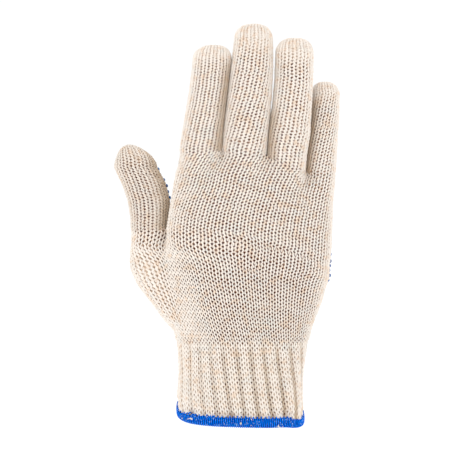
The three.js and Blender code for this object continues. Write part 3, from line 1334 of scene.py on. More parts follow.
class Graph:
    """The nodes of one material."""

    def __init__(self, name: str) -> None:
        """Starts an empty material."""
        self.material = bpy.data.materials.new(name)
        self.material.use_nodes = True
        self.tree = self.material.node_tree
        self.tree.nodes.clear()

    def node(self, kind: str, settings: dict[str, str], values: dict[str | int, object],
             output: int | str = 0) -> Socket:
        """Adds a node.

        Args:
            kind: The node's type.
            settings: Its properties, which are set first.
            values: What goes into its inputs, by name or number: values or sockets.
            output: The output that is wanted.

        Returns:
            That output.
        """
        made = self.tree.nodes.new(kind)
        for key, value in settings.items():
            setattr(made, key, value)
        for key, value in values.items():
            if isinstance(value, Socket):
                self.tree.links.new(value.output, made.inputs[key])
            else:
                made.inputs[key].default_value = value
        return Socket(self, made.outputs[output])

    def mix(self, share: Socket | float, first: Socket | Colour, second: Socket | Colour) -> Socket:
        """Returns a colour between two colours."""
        values = {0: share, 6: first, 7: second}
        return self.node("ShaderNodeMix", {"data_type": "RGBA"}, values, 2)

    def number(self, name: str) -> Socket:
        """Returns a number kept for each point of the piece."""
        return self.node("ShaderNodeAttribute", {"attribute_name": name}, {}, "Fac")

    def map(self, name: str) -> Socket:
        """Returns one of the piece's maps."""
        return self.node("ShaderNodeUVMap", {"uv_map": name}, {})

    def noise(self, scale: float, detail: float) -> Socket:
        """Returns noise on Object coordinates."""
        where = self.node("ShaderNodeTexCoord", {}, {}, "Object")
        return self.node("ShaderNodeTexNoise", {}, {"Vector": where, "Scale": scale, "Detail": detail})

    def finish(self, shader: Socket) -> Material:
        """Joins a shader to the output.

        Args:
            shader: The shader.

        Returns:
            The material.
        """
        out = self.tree.nodes.new("ShaderNodeOutputMaterial")
        self.tree.links.new(shader.output, out.inputs["Surface"])
        return self.material


def srgb(red: float, green: float, blue: float) -> Colour:
    """Returns a colour given as 0 to 255 in the linear numbers that shaders take."""
    shares = [share / 255 for share in (red, green, blue)]
    return (*(s / 12.92 if s <= 0.04045 else ((s + 0.055) / 1.055) ** 2.4 for s in shares), 1.0)


@dataclass(frozen=True)
class Mottle:
    """A mask of soft spots.

    Attributes:
        scale, detail: How fine its noise is, and how many finer layers the noise has.
        ramp: How the noise becomes the mask.
    """

    scale: float
    detail: float
    ramp: Ramp

    def mask(self, graph: Graph) -> Socket:
        """Returns the mask."""
        return graph.noise(self.scale, self.detail).ramp(self.ramp)


@dataclass(frozen=True)
class Skin:
    """How a finish takes the light.

    Attributes:
        roughness, specular: The shader's roughness and its specular level.
        bump, height: The strength of the small bumps, and their height in metres.
        grain, detail: How fine their noise is, and how many finer layers it has.
        sheen, sheen_roughness: The soft shine of loose fibres.
    """

    roughness: float
    specular: float
    bump: float
    height: float
    grain: float
    detail: float = 3.0
    sheen: float = 0.0
    sheen_roughness: float = 0.5

    def finish(self, graph: Graph, colour: Socket, bumps: Socket | None = None) -> Material:
        """Ends a graph in this skin.

        Args:
            graph: The material's nodes.
            colour: The colour.
            bumps: Heights to use in place of the noise.

        Returns:
            The material.
        """
        bumps = bumps or self.grains(graph)
        normal = graph.node("ShaderNodeBump", {}, {
            "Strength": self.bump, "Distance": self.height, "Height": bumps})
        return graph.finish(graph.node("ShaderNodeBsdfPrincipled", {}, {
            "Base Color": colour, "Roughness": self.roughness, "Specular IOR Level": self.specular,
            "Sheen Weight": self.sheen, "Sheen Roughness": self.sheen_roughness, "Normal": normal}))

    def grains(self, graph: Graph) -> Socket:
        """Returns the noise of the bumps."""
        return graph.noise(self.grain, self.detail)


@dataclass(frozen=True)
class CottonFinish:
    """Unbleached cotton yarn: cream, with flecks of seed and colour, and painted shade between loops.

    Attributes:
        cream, warm, cool: The colours that the yarn drifts between.
        warm_spots, cool_spots: Where it is warm and cool.
        gap_shade: The painted shade deep between the loops, a red brown.
        shade_tan: The painted shade of shaded sides and furrows.
        flank, deep: How the painted gap shade shows round the yarn, and at heads and feet of loops.
        inside: How the painted shade ends on the skin that faces the inside of the glove.
        least, opened: The painted shade's share where the stitches are closed, and what open ones add.
        plies: The scale of the twist, in waves along the yarn.
        twist: How much the twist and the fibres each add to the bumps.
        skin: How it takes the light.
    """

    cream: Colour = srgb(253, 244, 234)
    warm: Colour = srgb(248, 229, 210)
    cool: Colour = srgb(246, 242, 235)
    warm_spots: Mottle = Mottle(260.0, 3.0, Ramp(0.48, 0.68))
    cool_spots: Mottle = Mottle(140.0, 2.0, Ramp(0.52, 0.72, last=0.7))
    gap_shade: Colour = srgb(138, 48, 10)
    shade_tan: Colour = srgb(182, 152, 112)
    flank: Ramp = Ramp(-0.3, 0.6, last=0.75)
    deep: Ramp = Ramp(0.45, 1.0, last=0.24)
    inside: Ramp = Ramp(0.3, 0.9, 1.0, 0.0)
    least: float = 0.3
    opened: float = 0.6
    plies: float = 0.9
    twist: float = 0.6
    skin: Skin = Skin(0.95, 0.12, 0.5, 0.0002, 2600.0, sheen=0.15, sheen_roughness=0.6)

    def material(self) -> Material:
        """Builds the material.

        Returns:
            The material, which reads the numbers dusk, inner, deep and open and the map Yarn.
        """
        graph = Graph("cotton_yarn")
        colour = graph.mix(self.warm_spots.mask(graph), self.cream, self.warm)
        colour = graph.mix(self.cool_spots.mask(graph), colour, self.cool)
        # Painted shade from the number dusk, mostly on sides that face a neighbour and in the cuff's
        # furrows.
        colour = graph.mix(graph.number("dusk"), colour, self.shade_tan)
        # Painted shade between the loops: the gap colour on the yarn's flanks and deep heads and feet, most
        # where the stitches are open.
        inner = graph.number("inner")
        deep = graph.number("deep").ramp(self.deep)
        hidden = deep.math("MAXIMUM", inner.ramp(self.flank), deep) * inner.ramp(self.inside)
        share = hidden * (graph.number("open") * self.opened + self.least)
        colour = graph.mix(share, colour, self.gap_shade)
        waves = {"Vector": graph.map("Yarn"), "Scale": self.plies, "Distortion": 1.5, "Detail": 2.0}
        plies = graph.node("ShaderNodeTexWave", {"bands_direction": "DIAGONAL"}, waves, "Fac")
        bumps = self.twist * plies + self.twist * self.skin.grains(graph)
        return self.skin.finish(graph, colour, bumps)


@dataclass(frozen=True)
class ShadeShellFinish:
    """The shell of painted shade: dark behind the open places of the stitches, cream on its inner face.

    The open places lie at the middle of every wale and between the wales, half a course apart.
    In wales and courses they are the crests of the product of two cosines.

    Attributes:
        hole_shade: The painted shade of the open places.
        shade, light: The painted shade of the outer face between them, where open and where closed.
        shaded: The share of the shade where it is open.
        cream: The colour of the inner face.
        lift: Where on a course the open places of the wales' middles lie.
        column: How far the open places run together along the wales.
        edge: How the product becomes dark.
        broad, fine: How the painted shade varies over the glove, and from stitch to stitch.
        outer: How the inner face goes over into the outer one.
        skin: How it takes the light.
    """

    hole_shade: Colour = srgb(78, 27, 8)
    shade: Colour = srgb(210, 178, 148)
    light: Colour = srgb(236, 220, 200)
    shaded: float = 0.75
    cream: Colour = srgb(243, 233, 218)
    lift: float = 0.72
    column: float = 0.3
    edge: Ramp = Ramp(-0.05, -0.45)
    broad: Mottle = Mottle(70.0, 2.0, Ramp(0.3, 0.6, 0.6))
    fine: Mottle = Mottle(380.0, 1.0, Ramp(0.3, 0.6, 0.55, 1.15))
    outer: Ramp = Ramp(0.4, 0.6)
    skin: Skin = Skin(1.0, 0.05, 0.6, 0.0003, 1500.0)

    def material(self) -> Material:
        """Builds the material.

        Returns:
            The material, which reads the numbers open and outer and the map Stitch.
        """
        graph = Graph("painted_shade_shell")
        stitch = {"Vector": graph.map("Stitch")}
        across = graph.node("ShaderNodeSeparateXYZ", {}, stitch, "X") * (2 * np.pi)
        up = (graph.node("ShaderNodeSeparateXYZ", {}, stitch, "Y") - self.lift) * (2 * np.pi)
        columns = across.math("COSINE", across * 2)
        lattice = across.math("COSINE", across) * up.math("COSINE", up) - columns * self.column
        strength = self.broad.mask(graph) * self.fine.mask(graph)
        seen = graph.number("open")
        # Painted shade on the outer face, darkest at the open places of the stitches; the inner face stays
        # cream.
        colour = graph.mix(seen * self.shaded, self.light, self.shade)
        colour = graph.mix(lattice.ramp(self.edge) * strength * seen, colour, self.hole_shade)
        colour = graph.mix(graph.number("outer").ramp(self.outer), self.cream, colour)
        return self.skin.finish(graph, colour)


@dataclass(frozen=True)
class ThreadFinish:
    """Blue overlock thread, with painted shade in its furrows and painted highlights in pale flecks on its
    crests.

    Attributes:
        bright, deep: The colours that the thread drifts between.
        deep_spots: Where it is deep.
        pale_highlight: The pale colour of the painted highlight.
        highlight_flecks: Where the painted highlight lies, in flecks.
        furrow: The painted shade of its flanks.
        flank: How the painted shade begins round the thread.
        cotton: The colour of the cotton that shows through in a few places.
        gaps: Where it does.
        skin: How it takes the light.
    """

    bright: Colour = srgb(0, 124, 248)
    deep: Colour = srgb(0, 94, 216)
    deep_spots: Mottle = Mottle(420.0, 3.0, Ramp(0.35, 0.7))
    pale_highlight: Colour = srgb(176, 212, 248)
    highlight_flecks: Mottle = Mottle(1100.0, 2.0, Ramp(0.55, 0.72, last=0.8))
    furrow: Colour = srgb(0, 34, 104)
    flank: Ramp = Ramp(-0.75, 0.1, last=0.9)
    cotton: Colour = srgb(236, 228, 216)
    gaps: Mottle = Mottle(420.0, 0.0, Ramp(0.76, 0.8))
    skin: Skin = Skin(0.8, 0.02, 0.4, 0.0001, 3000.0)

    def material(self) -> Material:
        """Builds the material.

        Returns:
            The material, which reads the number inner.
        """
        graph = Graph("overlock_thread")
        colour = graph.mix(self.deep_spots.mask(graph), self.bright, self.deep)
        # Painted highlight: pale flecks.
        colour = graph.mix(self.highlight_flecks.mask(graph), colour, self.pale_highlight)
        # Painted shade on the thread's flanks that face the inside.
        colour = graph.mix(graph.number("inner").ramp(self.flank), colour, self.furrow)
        colour = graph.mix(self.gaps.mask(graph), colour, self.cotton)
        return self.skin.finish(graph, colour)


@dataclass(frozen=True)
class DotFinish:
    """Soft blue plastic, printed on in drops: half glossy, with a fine orange-peel skin.

    Attributes:
        blue, deep: The colours that it drifts between.
        deep_spots: Where it is deep.
        skin: How it takes the light.
    """

    blue: Colour = srgb(30, 108, 178)
    deep: Colour = srgb(18, 78, 148)
    deep_spots: Mottle = Mottle(300.0, 2.0, Ramp(0.35, 0.65))
    skin: Skin = Skin(0.38, 0.5, 0.25, 0.0001, 1600.0, detail=2.0)

    def material(self) -> Material:
        """Returns the material."""
        graph = Graph("dot_plastic")
        return self.skin.finish(graph, graph.mix(self.deep_spots.mask(graph), self.blue, self.deep))


# The glove's parts


@dataclass
class Knitting:
    """Makes sleeves into pieces of knit, all with the same yarn and the same luck.

    Attributes:
        finish, shade_shell_finish: The materials of the yarn and of the shell of painted shade.
        yarn, shade_shell: How the yarn and the shell of painted shade are laid.
        chance: Source of the small unevenness.
    """

    finish: Material
    shade_shell_finish: Material
    yarn: Yarn = field(default_factory=Yarn)
    shade_shell: ShadeShell = field(default_factory=ShadeShell)
    chance: np.random.Generator = field(default_factory=lambda: np.random.default_rng(SEED))

    def knit(self, name: str, sleeve: Sleeve, node: str, slot: Slot = Slot.KNIT,
             closed: bool = False) -> None:
        """Knits one sleeve and backs it with a shell of painted shade.

        Args:
            name: The sleeve's name.
            sleeve: Its measured form.
            node: The solid that the knit stands for.
            slot: Its material slot; not used.
            closed: Whether its upper end is closed.
        """
        surface = sleeve.surface
        yarn = make_tubes(f"{name}_knit", self.yarn.lay(surface, self.chance, sleeve.relief), self.finish)
        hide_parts(node)
        # A shell of painted shade behind the loops, dark where the stitches open.
        shell = self.shade_shell.build(f"{name}_lining", sleeve, closed, self.shade_shell_finish)
        for piece in (yarn, shell):
            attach(piece, BODY)
        log.info("%s: %d courses of %d stitches", name, surface.rows, surface.wales)


@dataclass
class Finger:
    """A sleeve with a closed end.

    Attributes:
        name: The finger's name.
        node: The solid that it is measured on.
        wales, courses: Stitches round and up, without the rounded end.
        right: The wale on the little finger's side at the root.
        base: Height at which its end starts to round.
        end_courses: Courses of the rounded end.
        power, lean, curl: The rounded end's shape; its top is measured.
        whole: The lowest height at which it is a whole ring.
        root: The course line it starts from.
        twist: How many wales drift round to the little finger's side up to the base.
        relief: How its fabric stands off its surface.
    """

    name: str
    node: str
    wales: int
    courses: int
    right: float
    base: float
    end_courses: int
    power: float
    lean: float
    curl: float
    whole: float
    root: Course = ROOT_LINE
    twist: float = 0.0
    relief: Relief = Relief()

    def shape(self) -> Sleeve:
        """Measures the finger and closes its end.

        Returns:
            The finger's sleeve, built.
        """
        outline = Outline([self.node], self.whole, self.base, (self.whole, self.base))
        sleeve = Sleeve(outline, self.wales, self.courses, self.root, level(self.base),
                        [Knot(self.right)], [Knot(self.right - self.twist)], relief=self.relief)
        end = RoundEnd(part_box(self.node)[1].z / MM, self.end_courses, self.power, self.lean, self.curl)
        sleeve.surface = end.close(sleeve.build())
        return sleeve


INDEX = Finger(
    "index", "index_finger", wales=15, courses=31, right=7.5, base=209.0, end_courses=11, power=2.6,
    lean=1.0, curl=1.5, whole=158.0, twist=0.5,
    relief=Relief(right=208.0, right_shade=0.55, holes=1.35, plain=209.0))
MIDDLE = Finger(
    "middle", "middle_finger", wales=15, courses=35, right=7.5, base=221.0, end_courses=11, power=2.6,
    lean=0.2, curl=1.5, whole=157.8, twist=2.0,
    relief=Relief(left=208.0, right=180.0, holes=1.3, plain=215.0))
RING = Finger(
    "ring", "ring_finger", wales=14, courses=33, right=6.5, base=213.0, end_courses=10, power=2.6,
    lean=0.2, curl=1.5, whole=154.4, twist=0.8,
    relief=Relief(left=180.0, right=188.0, left_shade=0.55, holes=1.1, plain=210.0))
LITTLE = Finger(
    "little", "little_finger", wales=14, courses=24, right=7.0, base=190.0, end_courses=8, power=2.4,
    lean=-0.6, curl=1.2, whole=144.2, twist=1.8,
    relief=Relief(left=188.0, left_shade=0.65, holes=1.4, plain=188.0))
FINGERS = (INDEX, MIDDLE, RING, LITTLE)
THUMB = Finger(
    "thumb", "thumb", wales=15, courses=22, right=1.25, base=147.0, end_courses=9, power=1.7,
    lean=-4.0, curl=0.5, whole=110.0, root=level(WEB_Z),
    relief=Relief(crowded=0.75, right=170.0, right_shade=0.5, shade=0.16, holes=1.75, plain=150.0,
                  patches=(Patch(-45.5, 125.0, 8.0, 45.0, 0.9),)))


# Wales of the heel and the cuff, and how far right they lie on the back: half way up the heel,
# at the wrist and at the hem
HEEL_WALES = ((-2.5, -42.8), (5.5, -25.1), (12.5, -1.4), (18.5, 18.4), (24.5, 38.7))
WRIST_WALES = ((-2.5, -31.3), (5.5, -15.9), (12.5, 4.2), (18.5, 19.9), (24.5, 35.7))
HEM_WALES = ((-2.5, -31.0), (5.5, -9.7), (12.5, 9.6), (18.5, 26.1), (21.5, 33.5))


@dataclass
class Palm:
    """The two sleeves of the palm: the knuckles above the thumb's root and the heel below it.

    Wales 0 to 27 of the knuckles cross the back and 27 to 54 the palm; the heel has 15 more,
    which go on into the thumb.

    Attributes:
        back_wales: Where the fingers begin and end, in the knuckles' wales.
        palm_starts: The wale of each finger at which its palm side begins.
        web, little_side: The knuckles' wales at the web between thumb and palm, and at the little
            finger's side of the same course.
        web_share: Where the web lies, as a share of its ring.
        wales, heel_wales: Stitches round the knuckles and the heel.
        knuckle_courses, heel_courses: Stitches up them.
        bow: How much of the wales' drift in the knuckles comes late.
        web_reach: How far from the web the heel's wales are left to spread evenly.
        steady: The heel's wales on the palm side that drift evenly.
        heel_join: How far down the heel its wales are drawn to the sleeves above it.
        turning: How far across a wale must go to lie on the back or on the palm.
        knuckle_heights, heel_heights: Where the two are measured, and where they are whole rings.
        thumb_hidden: The height below which the thumb hides the side of the knuckles.
        knuckle_relief, heel_relief: How the two fabrics stand off their outlines.
    """

    back_wales: tuple[int, ...] = (0, 7, 14, 20, 27)
    palm_starts: tuple[int, ...] = (8, 8, 7, 7)
    web: float = 0.0
    little_side: float = 28.3
    web_share: float = 0.476
    wales: int = 54
    heel_wales: int = 69
    knuckle_courses: int = 25
    heel_courses: int = 26
    bow: float = 1.5
    web_reach: float = 9.0
    steady: tuple[int, ...] = (31, 36, 41, 46, 51, 56, 61)
    heel_join: float = 16.0
    turning: float = 1.5
    knuckle_heights: Heights = (77.0, 157.5, (112.0, 142.0))
    heel_heights: Heights = (WRIST_Z - 1, 109.0, (46.0, 76.0))
    thumb_hidden: float = 109.8
    knuckle_relief: Relief = Relief(holes=1.9, patches=(
        Patch(-42.0, 114.0, 8.0, 16.0, 0.7), Patch(-36.0, 140.0, 6.0, 18.0, 0.6)))
    heel_relief: Relief = Relief(holes=2.75, patches=(
        Patch(-56.0, 84.0, 22.0, 30.0, 0.9), Patch(-38.0, 54.0, 17.0, 22.0),
        Patch(-18.0, 101.0, 30.0, 15.0, 0.4), Patch(52.0, 80.0, 8.0, 26.0, 0.6)))

    def shape(self, fingers: dict[str, Sleeve]) -> tuple[Sleeve, Sleeve]:
        """Returns the knuckles' sleeve and the heel's, with the fingers and the thumb grafted on."""
        knuckles = self.knuckles(fingers)
        return knuckles, self.heel(knuckles, fingers["thumb"])

    def knuckles(self, fingers: dict[str, Sleeve]) -> Sleeve:
        """Builds the sleeve above the thumb's root.

        Args:
            fingers: The sleeves of the fingers, built, by name.

        Returns:
            The sleeve.
        """
        nodes = ["palm_heel", "palm_knuckles", *(finger.node for finger in FINGERS)]
        outline = Outline(nodes, *self.knuckle_heights, hidden=self.thumb_hidden)
        grafts = self.finger_grafts(fingers)
        sleeve = Sleeve(
            outline, self.wales, self.knuckle_courses, THUMB_LINE, ROOT_LINE,
            [Knot(self.web, share=self.web_share), Knot(self.little_side, share=0.0)],
            [knot for graft in grafts for knot in self.graft_knots(graft)], grafts, bow=self.bow,
            relief=self.knuckle_relief)
        sleeve.build()
        return sleeve

    def heel(self, knuckles: Sleeve, thumb: Sleeve) -> Sleeve:
        """Builds the sleeve below the thumb's root, whose wales on the back are traced.

        Args:
            knuckles: The sleeve above it, built.
            thumb: The thumb's sleeve, built.

        Returns:
            The sleeve.
        """
        outline = Outline(["palm_heel", "palm_knuckles", "cuff_rib"], *self.heel_heights)
        above = [Graft(knuckles, 0, self.wales, self.web), Graft(thumb, self.wales, self.heel_wales, 0)]
        first_ring, last_ring = (outline.ring(course.height) for course in (level(WRIST_Z), THUMB_LINE))
        tied = [Knot(knot.wale, share=knot.place(last_ring))
                for graft in above for knot in self.graft_knots(graft)
                if abs(knot.x - WEB_X) > self.web_reach]
        sleeve = Sleeve(
            outline, self.heel_wales, self.heel_courses, level(WRIST_Z), THUMB_LINE,
            [Knot(wale, share=Knot(wale, x=x).place(first_ring)) for wale, x in WRIST_WALES],
            tied, above, join=self.heel_join, relief=self.heel_relief, steady=self.steady)
        highest = ring_at(last_ring, wale_places(tied, last_ring, sleeve.wales,
                                                 sleeve.wales * sleeve.per_wale))
        for (wale, low), (_, middle) in zip(WRIST_WALES, HEEL_WALES):
            high = float(highest[round(wale * sleeve.per_wale), 0])
            sleeve.lines.append(WaleLine(wale, (low, middle, high)))
        sleeve.build()
        return sleeve

    def graft_knots(self, graft: Graft) -> list[Knot]:
        """Ties the middle of each wale to its place on the sleeve that it goes on into.

        Along the back x rises with the wales and along the palm it falls. The wales that turn
        from one to the other are left free.

        Args:
            graft: The wales, and the sleeve they go on into.

        Returns:
            The knots.
        """
        wales = np.arange(graft.first, graft.last) + 0.5
        there = wales - graft.first + graft.start
        before, x, after = (graft.child.surface.at(there + part, np.zeros(len(wales))).points[:, 0]
                            for part in (-0.5, 0.0, 0.5))
        return [Knot(float(wale), x=float(place), side=Side.BACK if step > 0 else Side.PALM)
                for wale, place, step in zip(wales, x, after - before) if abs(step) > self.turning]

    def finger_grafts(self, fingers: dict[str, Sleeve]) -> list[Graft]:
        """Pairs each finger's back and palm wales with those of the knuckles.

        Args:
            fingers: The fingers' sleeves by name.

        Returns:
            Two grafts for each finger.
        """
        grafts = []
        for order, finger in enumerate(FINGERS):
            first, last = self.back_wales[order], self.back_wales[order + 1]
            start = self.palm_starts[order]
            grafts.append(Graft(fingers[finger.name], first, last, 0))
            grafts.append(Graft(fingers[finger.name], self.wales - last, self.wales - first, start))
        return grafts


# What the cuff and the hem are measured on
CUFF_NODES = ("cuff_rib", "cuff_hem")
CUFF_LOWEST = -5.0
CUFF_WHOLE = (14.0, 43.0)


@dataclass
class Cuff:
    """The ribbed cuff, whose ribs lean a little, down towards the little finger's side.

    Attributes:
        relief: Its ribs.
        bow: How much of the lean lies low.
        hidden: How far its first course lies below the hem's upper edge.
    """

    relief: RibRelief = RibRelief(holes=0.85, patches=(Patch(-40.0, 20.0, 14.0, 40.0, 0.8),))
    bow: float = -0.3
    hidden: float = 2.2

    def shape(self) -> Sleeve:
        """Measures the cuff.

        Returns:
            Its sleeve, built.
        """
        outline = Outline(CUFF_NODES, CUFF_LOWEST, WRIST_Z - 0.5, CUFF_WHOLE)
        low, high = ([Knot(wale, x=x) for wale, x in wales] for wales in (HEM_WALES, WRIST_WALES))
        sleeve = Sleeve(
            outline, self.relief.wales, self.relief.courses, hem_course(HEM_HEIGHT - self.hidden),
            level(WRIST_Z), low, high, bow=self.bow, relief=self.relief)
        sleeve.build()
        return sleeve


@dataclass
class Hem:
    """The overlocked edge: a core band, and a thread wound round it many times.

    Attributes:
        turns, steps, thread_sides: Rounds of the thread, its points to a round and its sides.
        half_height, half_thick: Half sizes of the band with its thread.
        thread, broad: Half thickness of the thread, and how much wider than thick it is.
        core_steps, core_sides: Points of the core round the opening and round its section.
        inset, sink: How far the core lies under the thread, and the band inside the wall's middle.
        narrow: The share of its height that the band loses at the two sides.
        side_start, side_span: How far from the middle that begins, and how far it takes.
        square, rounded: Exponents of the section through the fabric and up it, squarish below 1.
        short, tall: How far even turns reach above the band, and how much farther odd ones do.
        ragged: How uneven the turns' tops are.
        flat: How far the thread turns with the section's upper and lower end.
        top: The height up to which the opening is measured.
        reach: How far ahead and back its direction is read, as a share of the ring.
    """

    turns: int = 190
    steps: int = 14
    half_height: float = 2.75
    half_thick: float = 1.25
    thread: float = 0.34
    broad: float = 1.25
    thread_sides: int = 5
    core_steps: int = 180
    core_sides: int = 16
    inset: float = 0.1
    sink: float = 0.5
    narrow: float = 0.3
    side_start: float = 26.0
    side_span: float = 12.0
    square: float = 0.6
    rounded: float = 0.8
    short: float = -0.2
    tall: float = 0.9
    ragged: float = 0.3
    flat: float = 0.4
    top: float = 12.0
    reach: float = 0.004

    def build(self, finish: Material, chance: np.random.Generator) -> None:
        """Makes the band and its thread.

        Args:
            finish: Their material.
            chance: Source of the small unevenness.
        """
        outline = Outline(CUFF_NODES, CUFF_LOWEST, self.top, CUFF_WHOLE, step=1.0)
        middle = outline.ring(hem_course(HEM_HEIGHT / 2).height, count=360, soften=2.5)
        pieces = [self.band(middle, finish), self.wound(middle, finish, chance)]
        for piece in pieces:
            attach(piece, BODY)
        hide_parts("cuff_hem")
        log.info("hem: wound %d times with overlock thread", self.turns)

    def frame_at(self, ring: Array, share: Array) -> tuple[Array, Array, Array]:
        """Finds the band's own directions.

        Args:
            ring: The opening's ring.
            share: Places on it, as shares of its length.

        Returns:
            The ring's points, the way out and the way up at each place.
        """
        along = ring_at(ring, share + self.reach) - ring_at(ring, share - self.reach)
        out = unit(np.cross(along, [0.0, 0.0, 1.0]))
        return ring_at(ring, share), out, unit(np.cross(out, along))

    def height_at(self, points: Array) -> tuple[Array, Array]:
        """Returns the band's half height, and how far it slips down, less and more at the sides."""
        side = ease((np.abs(points[:, 0]) - self.side_start) / self.side_span)
        return self.half_height * (1 - self.narrow * side), self.half_height * self.narrow * side

    def band(self, ring: Array, finish: Material) -> Piece:
        """Makes the core: a squarish oval carried round the opening.

        Args:
            ring: The opening's ring.
            finish: Its material.

        Returns:
            The piece.
        """
        points, out, up = self.frame_at(ring, np.arange(self.core_steps) / self.core_steps)
        turn = 2 * np.pi * np.arange(self.core_sides) / self.core_sides
        across = squarish(np.cos(turn), self.square) * (self.half_thick - self.inset)
        half, drop = self.height_at(points)
        rise = squarish(np.sin(turn), self.square) * (half - self.inset)[:, None]
        middle = points - out * (WALL / 2 + self.sink) - up * drop[:, None]
        skin = middle[:, None] + across[:, None] * out[:, None] + rise[..., None] * up[:, None]
        faces = wrapped(self.core_steps, self.core_sides)
        piece = make_piece("hem_band", skin.reshape(-1, 3), faces, finish)
        # Inner is 1 all over, so the whole band takes the thread's painted flank shade.
        add_number(piece, "inner", np.ones(len(piece.data.vertices)))
        return piece

    def wound(self, ring: Array, finish: Material, chance: np.random.Generator) -> Piece:
        """Makes the wound thread: a helix on the band's section.

        Args:
            ring: The opening's ring.
            finish: Its material.
            chance: Source of the turns' unevenness.

        Returns:
            The piece.
        """
        count = self.turns * self.steps
        share = np.arange(count) / count
        turn = 2 * np.pi * self.turns * share
        points, out, up = self.frame_at(ring, share)
        uneven = np.repeat(chance.normal(0, 1, self.turns), self.steps)
        tall = np.repeat(np.arange(self.turns) % 2 * self.tall + self.short, self.steps)
        top = np.maximum(np.sin(turn), 0) ** 2 * (self.ragged * uneven + tall)
        across = squarish(np.cos(turn), self.square) * self.half_thick
        half, drop = self.height_at(points)
        rise = squarish(np.sin(turn), self.rounded) * half + top - drop
        centre = points + out * (across - WALL / 2 - self.sink)[:, None] + up * rise[:, None]
        outward = unit(out * across[:, None] + up * (self.flat * rise)[:, None])
        size = np.full((1, count), self.thread)
        tubes = Tubes(centre[None], outward[None], self.broad * size, size, self.thread_sides)
        return make_tubes("hem_thread", tubes, finish)


